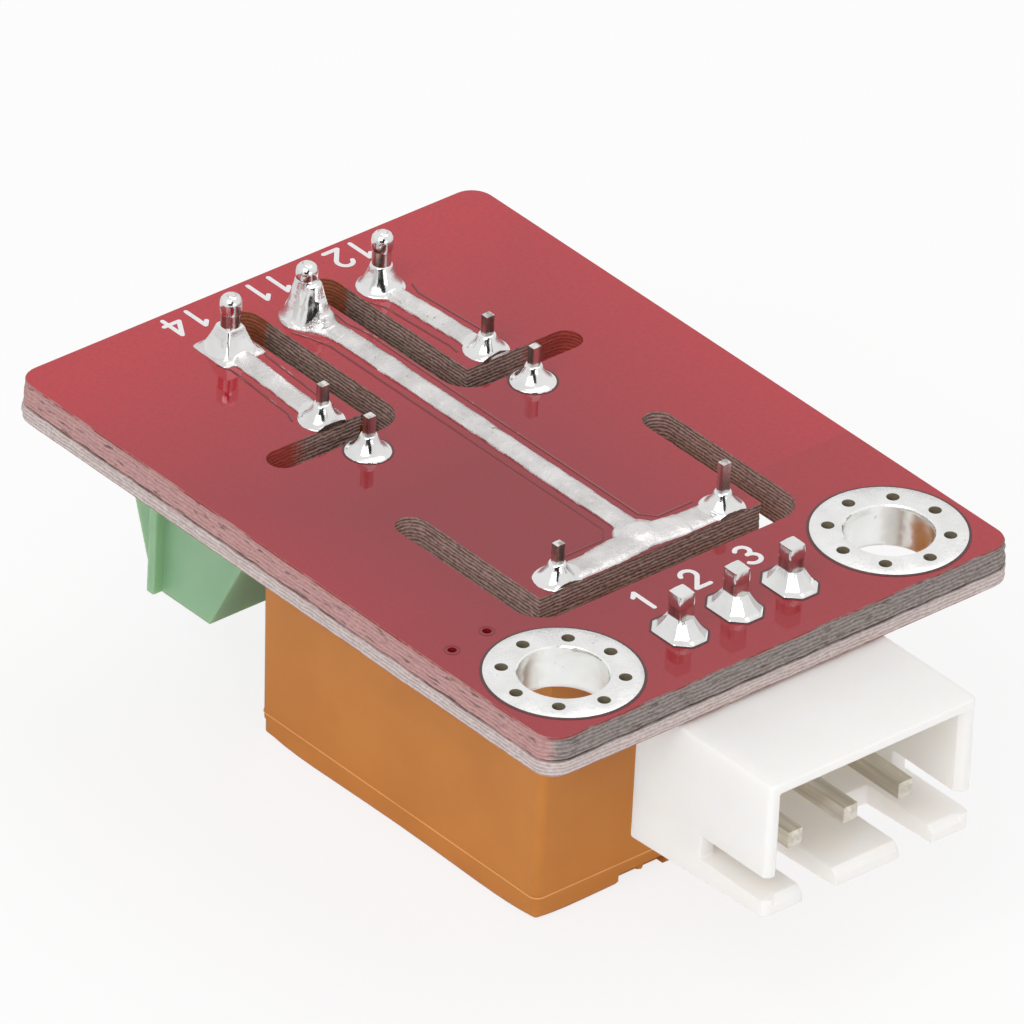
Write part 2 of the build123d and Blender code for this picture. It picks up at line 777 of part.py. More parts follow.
def header_pin(way):
    """A square pin bent at a right angle from the board into the shroud."""
    y = header_place(way)
    half = header_pin_width / 2
    axis = under(header_pin_axis)
    tip = header_front - header_pin_setback
    upright = block(header_row - half, header_row + half, y - half, y + half,
                    axis - half, board_top + header_pin_stand)
    upright = chamfer(upright.edges().group_by(Axis.Z)[-1], header_tip_chamfer)
    lying = block(header_row - half, tip, y - half, y + half, axis - half, axis + half)
    lying = chamfer(lying.edges().group_by(Axis.X)[-1], header_tip_chamfer)
    pin = upright + lying
    heel = pin.edges().filter_by(Axis.Y).sort_by(lambda edge: edge.center().X + edge.center().Z)[0]
    return fillet(heel, header_pin_bend)


def header_joint(way):
    """An elongated joint on one of the signal pins."""
    joint = solder_joint(header_row, header_place(way), header_pad_length, header_pad_width,
                         header_joint_height, header_hole())
    return joint - header_pin(way)


def small_place(place, side):
    """Middle of a small part beside the relay, on one side of the board's centre line."""
    along_x, inset = place
    return relay_centre + along_x, side * (board_width / 2 - inset)


def moulded_chip(place, size, lead_x, lead_ends):
    """A moulded part on the component side, with flat leads that rest on the board."""
    x, y = place
    length, width, height = size
    body = hang(x - length / 2, x + length / 2, y - width / 2, y + width / 2, lead_lift, height)
    body = chamfer(body.edges().group_by(Axis.Z)[0], chip_bevel)
    for place, side in zip(lead_x, lead_ends):
        y0, y1 = sorted((y + side * (width / 2 - lead_lift), y + side * (width / 2 + lead_reach)))
        half = lead_width / 2
        body += hang(x + place - half, x + place + half, y0, y1, 0, lead_thickness + lead_lift)
    return body


def driver_transistor():
    """Three-legged transistor that switches the coil."""
    pitch = transistor_size[0] / 3
    return moulded_chip(small_place(transistor_place, -1), transistor_size,
                        (-pitch, pitch, 0), (-1, -1, 1))


def flyback_diode():
    """Diode across the coil, moulded round two flat tabs."""
    length, width, height = diode_size
    x, y = small_place(diode_place, -1)
    body = hang(x - length / 2, x + length / 2, y - width / 2, y + width / 2, lead_lift, height)
    body = chamfer(body.edges().group_by(Axis.Z)[0], chip_bevel)
    half = width / 2 - chip_bevel
    reach = length / 2 + lead_reach
    return body + hang(x - reach, x + reach, y - half, y + half, 0, lead_thickness + lead_lift)


def chip(place, size):
    """A leadless chip whose end caps stand slightly proud of its body."""
    length, width, height = size
    x, y = place
    body = hang(x - length / 2 + cap_proud, x + length / 2 - cap_proud,
                y - width / 2 + cap_proud, y + width / 2 - cap_proud, cap_proud, height - cap_proud)
    for side in (-1, 1):
        x0, x1 = sorted((x + side * (length / 2 - cap_length), x + side * length / 2))
        body += hang(x0, x1, y - width / 2, y + width / 2, 0, height)
    return body


def indicator_led():
    """A chip lamp: two end caps and a raised clear window between them."""
    length, width, height = led_size
    x, y = small_place(led_place, 1)
    lamp = chip((x, y), (length, width, height / 2))
    window = hang(x - length / 2 + cap_length, x + length / 2 - cap_length,
                  y - width / 2 + cap_proud, y + width / 2 - cap_proud, height / 2 - cap_proud, height)
    return lamp + chamfer(window.edges().group_by(Axis.Z)[0], chip_bevel)


def build_parts():
    """Every piece of the module by its node name."""
    parts = {"circuit_board": circuit_board()}
    sides = {"near": -1, "far": 1}
    for name, side in sides.items():
        parts[f"mounting_ring_{name}"] = mounting_ring(side)
        parts[f"coil_pin_{name}"] = coil_pin(side)
    parts["open_contact"] = open_contact()
    parts["closed_contact"] = closed_contact()
    parts["common_terminal"] = common_terminal()
    relay_pins = [parts[name] for name in ("open_contact", "closed_contact", "common_terminal",
                                           "coil_pin_near", "coil_pin_far")]
    for way in range(terminal_ways):
        parts[f"terminal_contact_{way + 1}"] = terminal_contact(way)
        parts[f"clamp_screw_{way + 1}"] = clamp_screw(way)
        parts[f"clamp_cage_{way + 1}"] = clamp_cage(way)
    terminal_pins = [parts[f"terminal_contact_{way + 1}"] for way in range(terminal_ways)]
    pins = relay_pins + terminal_pins
    parts["solder_track_common"] = trim(common_track(), pins)
    parts["solder_track_open"] = trim(contact_track(-1), pins)
    parts["solder_track_closed"] = trim(contact_track(1), pins)
    for name, side in sides.items():
        parts[f"coil_solder_{name}"] = trim(relay_joint(coil_row, side), pins)
    parts["header_solder_joints"] = Compound(
        children=[header_joint(way) for way in range(header_ways)])
    parts["relay_cover"] = relay_cover()
    parts["relay_base"] = relay_base(relay_pins)
    parts["coil_bobbin"] = coil_bobbin(relay_pins[-2:])
    parts["coil_winding"] = coil_winding()
    parts["iron_core"] = iron_core()
    parts["iron_yoke"] = iron_yoke()
    parts["armature"] = armature()
    parts["contact_spring"] = contact_spring()
    parts["terminal_housing"] = terminal_housing()
    header_pins = [header_pin(way) for way in range(header_ways)]
    parts["header_shroud"] = header_shroud(header_pins)
    for name, pin in zip(("signal", "supply", "ground"), header_pins):
        parts[f"header_pin_{name}"] = pin
    parts["driver_transistor"] = driver_transistor()
    parts["flyback_diode"] = flyback_diode()
    parts["base_resistor"] = chip(small_place(base_resistor_place, -1), chip_size)
    parts["led_resistor"] = chip(small_place(led_resistor_place, 1), chip_size)
    parts["indicator_led"] = indicator_led()
    return parts


def main():
    os.makedirs("parts", exist_ok=True)
    for name, shape in build_parts().items():
        export_step(shape, f"parts/{name}.step")
        print(f"{name}: {len(shape.solids())} solid, {shape.volume:.2f} cubic mm")


main()
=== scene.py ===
# %% [markdown]
# # A relay module, lying solder side up
# The object is a small circuit board with a relay, a screw terminal block and a signal header.
# It lies on its relay, so what shows is the solder side: red mask, bright solder, milled slots.
# The solid shapes come from a CAD model and stay fixed. This script dresses that model: pieces
# whose real shape is organic or very fine are built here as meshes, and the rest get finishes.

import math

import bmesh
import bpy
from mathutils import Euler, Matrix, Vector, geometry, noise


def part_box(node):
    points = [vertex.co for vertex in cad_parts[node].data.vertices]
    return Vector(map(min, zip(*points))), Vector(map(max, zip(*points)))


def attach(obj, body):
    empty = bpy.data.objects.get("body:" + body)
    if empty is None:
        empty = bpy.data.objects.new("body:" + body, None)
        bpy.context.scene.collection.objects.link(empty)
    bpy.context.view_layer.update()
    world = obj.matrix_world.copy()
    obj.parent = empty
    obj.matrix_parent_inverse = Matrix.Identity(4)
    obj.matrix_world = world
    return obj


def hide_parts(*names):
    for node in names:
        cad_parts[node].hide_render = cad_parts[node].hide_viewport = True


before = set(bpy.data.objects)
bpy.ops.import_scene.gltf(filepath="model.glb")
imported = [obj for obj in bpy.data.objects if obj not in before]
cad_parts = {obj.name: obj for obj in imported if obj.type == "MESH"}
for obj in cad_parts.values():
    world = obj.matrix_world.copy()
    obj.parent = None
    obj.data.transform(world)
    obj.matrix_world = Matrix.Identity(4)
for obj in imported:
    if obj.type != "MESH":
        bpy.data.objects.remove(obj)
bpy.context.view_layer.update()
MM = 0.001
print("CAD nodes:", len(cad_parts))

# %% [markdown]
# ## Camera
# The photograph was taken from the header end, about 33 degrees above the table, with a long lens.
# A long lens far away keeps parallel edges nearly parallel, which is what the picture shows.
# The turn is set as three angles because the camera was also rolled a little.

# %% Set up the camera
def place(name, data):
    """A new object in the scene."""
    thing = bpy.data.objects.new(name, data)
    bpy.context.scene.collection.objects.link(thing)
    return thing


camera_place = (0.386806, -0.352943, 0.351997)
camera_turn = (56.985, -2.597, 49.472)
lens = bpy.data.cameras.new("long_lens")
lens.sensor_width = 36.0
lens.lens = 626.9
lens.clip_end = 10.0
camera = place("camera", lens)
camera.location = camera_place
camera.rotation_euler = Euler([math.radians(a) for a in camera_turn])
bpy.context.scene.camera = camera
bpy.context.scene.view_settings.view_transform = "Standard"
print("camera at", camera_place, "lens", lens.lens, "mm")

# %% [markdown]
# ## Small helpers for finishes
# Every finish is a tree of shader nodes. A few helpers keep each tree short: three fill sockets,
# one places a texture in real millimetres, one makes a noise, one spreads it between two values,
# one does arithmetic, one mixes colours and one makes bumps. Object coordinates are used, so a
# pattern stays with its piece when the piece moves.

# %% Helpers for finishes
def fill(tree, socket, value):
    """Fills a socket with a plain value, or links it to the output of a node."""
    if isinstance(value, bpy.types.NodeSocket):
        tree.links.new(value, socket)
    else:
        socket.default_value = value


def fill_named(tree, node, **values):
    """Fills sockets of a node by their names."""
    for name, value in values.items():
        fill(tree, node.inputs[name.replace("_", " ")], value)


def add_node(tree, kind, **values):
    """A new shader node with some of its sockets filled."""
    node = tree.nodes.new("ShaderNode" + kind)
    fill_named(tree, node, **values)
    return node


def start_finish(name, rough, metal=0.0):
    """A new material with its shader's even values set on the shader itself."""
    finish = bpy.data.materials.new(name)
    finish.use_nodes = True
    shader = finish.node_tree.nodes["Principled BSDF"]
    fill_named(finish.node_tree, shader, Roughness=rough, Metallic=metal, IOR=1.5)
    return finish, finish.node_tree, shader


def in_millimetres(tree, stretch=(1, 1, 1)):
    """Object coordinates in millimetres, stretched along each axis."""
    spot = add_node(tree, "TexCoord").outputs["Object"]
    scale = [s / MM for s in stretch]
    return add_node(tree, "Mapping", Vector=spot, Scale=scale).outputs["Vector"]


def cloud(tree, scale, detail=4.0, stretch=(1, 1, 1), roughness=0.55):
    """A soft noise with its scale per millimetre."""
    return add_node(tree, "TexNoise", Vector=in_millimetres(tree, stretch), Scale=scale,
                    Detail=detail, Roughness=roughness).outputs["Fac"]


def spread(tree, factor, low, high, start=0.0, end=1.0):
    """Spreads a factor from start..end to low..high."""
    return add_node(tree, "MapRange", Value=factor, From_Min=start, From_Max=end,
                    To_Min=low, To_Max=high).outputs["Result"]


def calculate(tree, operation, *values):
    """One step of arithmetic on numbers or outputs of nodes."""
    node = add_node(tree, "Math")
    node.operation = operation
    for socket, value in zip(node.inputs, values):
        fill(tree, socket, value)
    return node.outputs[0]


def two_colours(tree, factor, first, second):
    """A mix of two colours, each given or already the output of a node."""
    node = add_node(tree, "Mix")
    node.data_type = "RGBA"
    fill(tree, node.inputs[0], factor)
    for socket, colour in ((node.inputs[6], first), (node.inputs[7], second)):
        fill(tree, socket, (*colour, 1.0) if isinstance(colour, tuple) else colour)
    return node.outputs[2]


def paint(tree, shader, colour):
    """Gives a shader its colour."""
    fill_named(tree, shader, Base_Color=colour)


def raise_bumps(tree, shader, factor, depth, strength):
    """Bumps of a depth in millimetres."""
    node = add_node(tree, "Bump", Height=factor, Distance=depth * MM, Strength=strength)
    fill_named(tree, shader, Normal=node.outputs["Normal"])


def two_tone(name, rough, first, second, scale, detail=4.0):
    """A plain finish whose colour drifts between two near tones."""
    finish, tree, shader = start_finish(name, rough)
    paint(tree, shader, two_colours(tree, cloud(tree, scale, detail), first, second))
    return finish


print("finish helpers ready")

# %% [markdown]
# ## Floor and light
# The product stands on a white sheet in a tent of white cloth, so light comes from all around. One
# lamp stands at the side like a window, one hangs above, and a low one lights the header's mouth.
# The world is dimmer for the light it gives than for what mirrors and the camera see, so metal
# shows white cloth without glare.

# %% Floor
def make_floor():
    """A wide pale sheet, a hair under the face that the object rests on."""
    half, drop = 1.5, -0.02 * MM
    corners = [(x * half, y * half, drop) for x, y in ((-1, -1), (1, -1), (1, 1), (-1, 1))]
    mesh = bpy.data.meshes.new("floor")
    mesh.from_pydata(corners, [], [(0, 1, 2, 3)])
    finish, tree, shader = start_finish("pale_sheet", 0.9)
    paper = two_colours(tree, cloud(tree, 0.05), (0.93, 0.93, 0.93), (0.95, 0.95, 0.95))
    paint(tree, shader, paper)
    glow = add_node(tree, "Emission").outputs["Emission"]
    seen = spread(tree, add_node(tree, "LightPath").outputs["Is Camera Ray"], 0.0, 0.8)
    blend = add_node(tree, "MixShader")
    for socket, value in zip(blend.inputs, (seen, shader.outputs["BSDF"], glow)):
        fill(tree, socket, value)
    fill_named(tree, tree.nodes["Material Output"], Surface=blend.outputs["Shader"])
    mesh.materials.append(finish)
    floor = place("floor", mesh)
    return floor


floor = make_floor()
print("floor", floor.dimensions[:])

# %% World and lamps
def make_world(ambient, seen):
    """White all round: one strength for the light it gives, one for what is seen in it."""
    world = bpy.data.worlds.new("white_tent")
    world.use_nodes = True
    tree = world.node_tree
    rays = add_node(tree, "LightPath").outputs
    total = rays["Is Camera Ray"]
    for kind in ("Is Glossy Ray", "Is Transmission Ray"):
        total = calculate(tree, "MAXIMUM", total, rays[kind])
    fill_named(tree, tree.nodes["Background"], Strength=spread(tree, total, ambient, seen),
               Color=(1.0, 1.0, 1.0, 1.0))
    bpy.context.scene.world = world


def soft_lamp(name, spot, size, power):
    """A square lamp that looks at the object."""
    data = bpy.data.lights.new(name, "AREA")
    data.size = size
    data.energy = power
    lamp = place(name, data)
    lamp.location = spot
    lamp.rotation_euler = (-Vector(spot)).to_track_quat("-Z", "Y").to_euler()


make_world(ambient=0.60, seen=1.0)
soft_lamp("window_side", (0.22, -0.50, 0.5), 0.5, 2.1)
soft_lamp("ceiling", (0.05, 0.25, 0.8), 0.6, 1.1)
soft_lamp("low_card", (0.60, -0.10, 0.05), 0.3, 0.5)

# %% [markdown]
# A tent of cloth has an opening for the lens, and the room behind it is dark. Polished metal shows
# that opening as a dark streak, which is what makes solder look like metal and not like paint. A
# tall dark cloth stands there, and only mirror-like surfaces see it.

# %% The dark opening of the tent
def make_opening(middle, half_turn, radius, height):
    """A curved dark cloth round the object, its middle at an angle in degrees."""
    steps = 12
    turns = [math.radians(middle + half_turn * (2 * i / steps - 1)) for i in range(steps + 1)]
    edge = [(radius * math.cos(t), radius * math.sin(t)) for t in turns]
    points = [(x, y, z) for z in (0.0, height) for x, y in edge]
    mesh = bpy.data.meshes.new("tent_opening")
    strips = [(i, i + 1, i + steps + 2, i + steps + 1) for i in range(steps)]
    mesh.from_pydata(points, [], strips)
    black = two_tone("dark_cloth", 0.9, (0.010, 0.010, 0.011), (0.02, 0.02, 0.021), 0.02)
    mesh.materials.append(black)
    cloth = place("tent_opening", mesh)
    for kind in ("camera", "diffuse", "transmission", "shadow"):
        setattr(cloth, "visible_" + kind, False)
    return cloth


opening = make_opening(middle=-42.4, half_turn=26, radius=0.9, height=1.0)
print("opening of the tent:", [round(v, 2) for v in opening.dimensions])

# %% [markdown]
# ## Sizes that the pieces share
# The pieces below sit on the CAD model, so they use its places: heights over the table and
# distances from the middle, in millimetres. X runs to the signal header and Z is up.

# %% Shared sizes
board_low, board_high, board_thick = 11.8, 13.4, 1.6
board_x, board_y, board_corner = (-17.0, 12.3), 10.8, 1.0
terminal_x, terminal_step = -13.7, 3.5
header_x, header_step = 9.5, 2.54
common_x, coil_x, contact_x = 4.45, -5.71, -8.25
pin_y = 3.81
ring_x, ring_y = 9.1, 7.5
rim_radius, via_circle, via_radius = 2.8, 2.15, 0.25
slot_half = 0.6
print("board from", board_low, "to", board_high)

# %% [markdown]
# ## Building in millimetres
# A mesh is easiest to think about in millimetres, as in the CAD. These helpers turn a finished
# bmesh into a piece in metres, give it its finishes, and make it ride on the module's CAD body.
# Most shapes here are rings of points joined to each other, so one more helper does the joining.

# %% Turn a bmesh into a piece
def as_mesh(name, shape):
    """A mesh from a bmesh, with its faces turned outward."""
    mesh = bpy.data.meshes.new(name)
    bmesh.ops.recalc_face_normals(shape, faces=shape.faces)
    shape.to_mesh(mesh)
    shape.free()
    return mesh


def make_piece(name, shape, finishes, stands_for=(), smooth_angle=35):
    """A finished object from a bmesh in millimetres."""
    mesh = as_mesh(name, shape)
    mesh.transform(Matrix.Scale(MM, 4))
    for finish in finishes:
        mesh.materials.append(finish)
    mesh.polygons.foreach_set("use_smooth", [True] * len(mesh.polygons))
    mesh.set_sharp_from_angle(angle=math.radians(smooth_angle))
    piece = place(name, mesh)
    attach(piece, "module")
    if stands_for:
        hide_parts(*stands_for)
    return piece


def join_rings(shape, rings, material=0):
    """Quads between each closed ring of vertices and the next."""
    for first, second in zip(rings, rings[1:]):
        for i in range(len(first)):
            j = (i + 1) % len(first)
            face = shape.faces.new((first[i], first[j], second[j], second[i]))
            face.material_index = material


print("piece helpers ready")

# %% [markdown]
# ## The red mask
# Solder mask is a thin glossy lacquer over glass-fibre laminate. Light from below comes through the
# laminate except where the relay covers it, so the middle of the board looks deeper than its rim.
# That light is painted: the finish mixes two reds by how far a point lies from the relay, and adds
# a faint weave. Copper under the lacquer at the header end makes it a little deeper there, with a
# sharp
# edge: partly the copper's own tone, partly painted shade where the copper stops the light from
# below.

# %% Finish of the red mask
def along_axis(tree, axis):
    """How far a point lies along an axis, in millimetres."""
    return add_node(tree, "SeparateXYZ", Vector=in_millimetres(tree)).outputs[axis]


def distance_out(tree, centre, half, fade):
    """0 over a rectangle on the board, rising to 1 at a distance of fade millimetres from it."""
    sides = []
    for axis in (0, 1):
        offset = calculate(tree, "SUBTRACT", along_axis(tree, axis), centre[axis])
        away = calculate(tree, "ABSOLUTE", offset)
        sides.append(spread(tree, away, 0.0, 1.0, half[axis], half[axis] + fade))
    return calculate(tree, "MAXIMUM", *sides)


def past(tree, axis, level, fade, before=0.0, after=1.0):
    """One value before a level along an axis, another past it."""
    return spread(tree, along_axis(tree, axis), before, after, level - fade / 2, level + fade / 2)


def make_mask(name, inner, outer, over_copper, thread):
    """Glossy red lacquer with painted light from below, deeper over the relay."""
    finish, tree, shader = start_finish(name, 0.05)
    # painted light from below: the rim is painted a brighter red, the middle over the relay deeper
    reach = distance_out(tree, centre=(1.5, -3.5), half=(4.0, 2.5), fade=13.0)
    base = two_colours(tree, reach, inner, outer)
    # partly painted shade: copper at the header end stops the light from below, and has its own
    # tone
    base = two_colours(tree, past(tree, 0, 3.4, 0.06, after=0.3), base, over_copper)
    weave = cloud(tree, 6.0, 2.0, (1, 1, 0.2))
    paint(tree, shader, two_colours(tree, spread(tree, weave, 0.0, 0.3, 0.4, 0.75), base, thread))
    raise_bumps(tree, shader, cloud(tree, 0.5, 2.0), 0.01, 0.25)
    return finish


red_mask = make_mask("red_mask", (0.27, 0.012, 0.023), (0.50, 0.015, 0.029),
                     (0.30, 0.011, 0.018), (0.20, 0.010, 0.016))
print("finish:", red_mask.name)

# %% [markdown]
# ## Cut laminate
# Where the board is sawn or milled, its layers of glass cloth show as thin lines along the cut. The
# milled slots are brown and dull. The outer edge is broken from a panel, so it is greyer and rough.
# A wave texture along Z draws the layers. Even lines would look printed, so the wave sways a
# little and a noise breaks it up into threads.

# %% Finishes of cut laminate
def layered(tree, layers_per_mm, sway):
    """Thin layers of glass cloth along Z that sway a little, broken up by threads."""
    bands = add_node(tree, "TexWave", Vector=in_millimetres(tree), Detail=3.0, Detail_Scale=0.5,
                     Scale=layers_per_mm * math.pi / 10, Distortion=sway)
    bands.bands_direction = "Z"
    threads = cloud(tree, 6.0, 4.0, (1, 1, 1.6))
    return calculate(tree, "MULTIPLY_ADD", bands.outputs["Fac"], 0.35, threads)


def make_milled():
    """The wall of a routed slot: brown layers, burnt orange at the terminal end, a painted red glow
    at the far ends.
    """
    finish, tree, shader = start_finish("milled_laminate", 0.7)
    layers = layered(tree, 7.0, 1.3)
    brown = two_colours(tree, spread(tree, layers, 0.0, 1.0, 0.50, 0.86),
                        (0.16, 0.088, 0.075), (0.50, 0.34, 0.30))
    terminal_end = past(tree, 0, -14.35, 0.25, before=0.75, after=0.0)
    colour = two_colours(tree, terminal_end, brown, (0.40, 0.085, 0.012))
    # painted light: a red glow on the far ends of the two bent slots
    far_ends = spread(tree, distance_out(tree, (0.0, 0.0), (20.0, 4.9), 0.8), 0.0, 0.85)
    behind_relay = past(tree, 0, -6.2, 0.2, before=1.0, after=0.0)
    painted_red_glow = calculate(tree, "MULTIPLY", far_ends, behind_relay)
    paint(tree, shader, two_colours(tree, painted_red_glow, colour, (0.42, 0.035, 0.022)))
    raise_bumps(tree, shader, layers, 0.05, 0.8)
    return finish


def make_broken():
    """The snapped rim: grey above the score line, pale pink below, dark lines between them."""
    finish, tree, shader = start_finish("broken_laminate", 0.8)
    layers = layered(tree, 6.5, 3.0)
    tone = spread(tree, layers, 0.0, 1.0, 0.45, 0.9)
    above = two_colours(tree, tone, (0.21, 0.185, 0.175), (0.50, 0.435, 0.415))
    # painted shade: above the score line the rim is darker on the header side
    header_side_shade = past(tree, 0, 12.0, 0.2, after=0.38)
    above = two_colours(tree, header_side_shade, above, (0.13, 0.10, 0.09))
    near_side = past(tree, 1, -10.4, 0.3, before=0.6, after=0.0)
    above = two_colours(tree, near_side, above, (0.62, 0.27, 0.26))
    below = two_colours(tree, tone, (0.47, 0.38, 0.365), (0.72, 0.62, 0.60))
    scratches = cloud(tree, 4.0, 2.0, (0.35, 0.35, 2.2), 0.5)
    scratched = spread(tree, scratches, 0.0, 0.75, 0.60, 0.66)
    above = two_colours(tree, scratched, above, (0.10, 0.07, 0.06))
    colour = two_colours(tree, past(tree, 2, 12.42, 0.12), below, above)
    for level, dark in ((12.46, (0.10, 0.06, 0.05)), (13.36, (0.30, 0.03, 0.03)),
                        (11.84, (0.34, 0.08, 0.08))):
        line = calculate(tree, "MULTIPLY", past(tree, 2, level - 0.04, 0.05),
                         past(tree, 2, level + 0.04, 0.05, before=1.0, after=0.0))
        patches = spread(tree, cloud(tree, 0.8, 3.0), 0.2, 0.95, 0.42, 0.55)
        colour = two_colours(tree, calculate(tree, "MULTIPLY", line, patches), colour, dark)
    paint(tree, shader, colour)
    raise_bumps(tree, shader, layers, 0.09, 0.9)
    return finish


milled_laminate = make_milled()
broken_laminate = make_broken()
via_lining = two_tone("via_lining", 0.5, (0.16, 0.13, 0.08), (0.36, 0.31, 0.22), 4.0)
print("finishes:", milled_laminate.name, broken_laminate.name, via_lining.name)

# %% [markdown]
# ## Outlines for the board
# The board is one plate with a rounded outline, three routed slots and many holes. Each outline is
# a closed loop of points a fraction of a millimetre apart, so the cut walls can be roughened later.
# A routed slot is the path of a round cutter: the loop runs along one side of it and back.

# %% Outline helpers
def oval(x, y, reach_x, reach_y, start, end, count=12):
    """Points along part of an oval, angles in degrees."""
    turns = [math.radians(start + (end - start) * i / count) for i in range(count + 1)]
    return [(x + reach_x * math.cos(t), y + reach_y * math.sin(t)) for t in turns]


def arc(x, y, radius, start, end, count):
    """Points along part of a circle."""
    return oval(x, y, radius, radius, start, end, count)


def even_steps(points, step):
    """A closed loop through the points, with extra points so that no side is longer than step."""
    loop = []
    for (x0, y0), (x1, y1) in zip(points, points[1:] + points[:1]):
        count = max(1, math.ceil(math.hypot(x1 - x0, y1 - y0) / step))
        for i in range(count):
            loop.append((x0 + (x1 - x0) * i / count, y0 + (y1 - y0) * i / count))
    return [p for i, p in enumerate(loop) if math.dist(p, loop[i - 1]) > 0.01]


def plate_outline(x0, x1, y0, y1, radius):
    """A rectangle with rounded corners, counter-clockwise."""
    points = []
    for x, y, start in ((x1, y1, 0), (x0, y1, 90), (x0, y0, 180), (x1, y0, 270)):
        cx = x - radius if x == x1 else x + radius
        cy = y - radius if y == y1 else y + radius
        points += arc(cx, cy, radius, start, start + 90, 8)
    return points


def ring_loop(x, y, radius, count):
    """A closed circle of points, clockwise, as the wall of a hole needs it."""
    return arc(x, y, radius, 0, -360, count)[:-1]


def heading(start, end):
    """The direction from one point to another, in degrees."""
    return math.degrees(math.atan2(end[1] - start[1], end[0] - start[0]))


def sideways(points, i, reach):
    """A step to the left of a run of points, at one of them."""
    ahead = Vector(points[min(i + 1, len(points) - 1)]) - Vector(points[max(i - 1, 0)])
    return Vector((-ahead.y, ahead.x)).normalized() * reach


def slot_outline(path):
    """The edge that a round cutter leaves along a path with right-angled corners."""
    centre = [path[0]]
    for before, corner, after in zip(path, path[1:], path[2:]):
        into = (Vector(corner) - Vector(before)).normalized()
        out = (Vector(after) - Vector(corner)).normalized()
        for i in range(9):
            t = math.pi / 2 * i / 8
            bend = into * (math.sin(t) - 1) + out * (1 - math.cos(t))
            centre.append(tuple(Vector(corner) + bend * slot_half))
    centre.append(path[-1])
    left, right = [], []
    for i, point in enumerate(centre):
        side = sideways(centre, i, slot_half)
        left.append(tuple(Vector(point) + side))
        right.append(tuple(Vector(point) - side))
    last, first = heading(centre[-2], centre[-1]), heading(centre[1], centre[0])
    end = arc(*centre[-1], slot_half, last - 90, last + 90, 10)[1:-1]
    start = arc(*centre[0], slot_half, first - 90, first + 90, 10)[1:-1]
    return right + end + left[::-1] + start


slot_paths = [[(-14.8, -1.85), (-7.08, -1.85), (-7.08, -6.55)],
              [(-14.8, 1.85), (-7.08, 1.85), (-7.08, 6.55)],
              [(-1.1, -5.7), (5.66, -5.7), (5.66, 5.7), (-1.1, 5.7)]]
print("slots:", len(slot_paths), "points in the first:", len(slot_outline(slot_paths[0])))

# %% [markdown]
# ## The board
# Each outline becomes a wall with several levels, and the two faces are filled between the walls.
# The walls are pushed in and out by a noise that changes faster along Z than along the cut, which
# leaves ridges like real layers of cloth. The outer edge slants to a rough web in the middle,
# because the board was scored from both faces and snapped off its panel.

# %% Walls and faces of a plate
def roughness_at(x, y, z, grain):
    """A ridge height for a point on a cut wall, from -1 to 1."""
    return noise.noise(Vector((x * grain, y * grain, z * 6.0)))


def add_wall(shape, loop, levels, depth=0.0, grain=1.0, material=0):
    """A wall round a loop at levels of (height, inset, share of the depth of its ridges)."""
    outward = []
    for i in range(len(loop)):
        along = Vector(loop[(i + 1) % len(loop)]) - Vector(loop[i - 1])
        outward.append(Vector((along.y, -along.x)).normalized())
    rings = []
    for z, inset, share in levels:
        ring = []
        for (x, y), side in zip(loop, outward):
            push = -inset + depth * share * (roughness_at(x, y, z, grain) - 0.5)
            ring.append(shape.verts.new((x + side.x * push, y + side.y * push, z)))
        rings.append(ring)
    join_rings(shape, rings, material)
    return rings[0], rings[-1]


def fill_between(shape, rings):
    """Fills a flat face between its outer ring and the rings of its holes."""
    edges = []
    for ring in rings:
        edges += [shape.edges.get(pair) for pair in zip(ring, ring[1:] + ring[:1])]
    filled = bmesh.ops.triangle_fill(shape, edges=edges, use_beauty=True)
    for item in filled["geom"]:
        if isinstance(item, bmesh.types.BMFace):
            item.material_index = 0


def add_plate(shape, walls, lows=(), highs=()):
    """A plate from walls of (loop, levels, look); its faces may be given more rings."""
    lows, highs = list(lows), list(highs)
    for loop, levels, look in walls:
        low, high = add_wall(shape, loop, levels, **look)
        lows.append(low)
        highs.append(high)
    fill_between(shape, lows)
    fill_between(shape, highs)


print("plate helpers ready")

# %% Build the board
covered_vias, covered_radius = [(5.70, -9.64), (5.51, -7.90)], 0.17
barrel_outer, barrel_bore = 1.66, 1.6
point_step = 0.16
snapped = {"depth": 0.07, "grain": 1.6, "material": 1}
routed = {"depth": 0.05, "grain": 2.2, "material": 2}
pierced = {"material": 3}
straight = [(board_low, 0.0, 0.0), (board_high, 0.0, 0.0)]
slot_levels = [(board_low, 0.0, 0.0), (board_low + 0.03, 0.0, 0.3),
               *((board_low + board_thick * i / 10, 0.0, 1.0) for i in range(1, 10)),
               (board_high - 0.03, 0.0, 0.3), (board_high, 0.0, 0.0)]
rim_levels = [(11.80, 0.13, 0.0), (11.86, 0.06, 0.4), (12.0, 0.03, 1.0), (12.15, 0.02, 1.0),
              (12.3, 0.02, 0.8), (12.40, 0.04, 0.6), (12.45, 0.13, 1.0), (12.50, 0.06, 0.8),
              (12.65, 0.05, 1.0), (12.8, 0.06, 1.0), (12.95, 0.08, 1.0), (13.1, 0.09, 1.0),
              (13.25, 0.11, 0.8), (13.36, 0.12, 0.3), (13.40, 0.16, 0.0)]


def via_places(side):
    """Middles of the eight small holes round a mounting hole."""
    places = []
    for turn in (math.pi / 4 * i for i in range(8)):
        places.append((ring_x + via_circle * math.cos(turn),
                       side * ring_y + via_circle * math.sin(turn)))
    return places


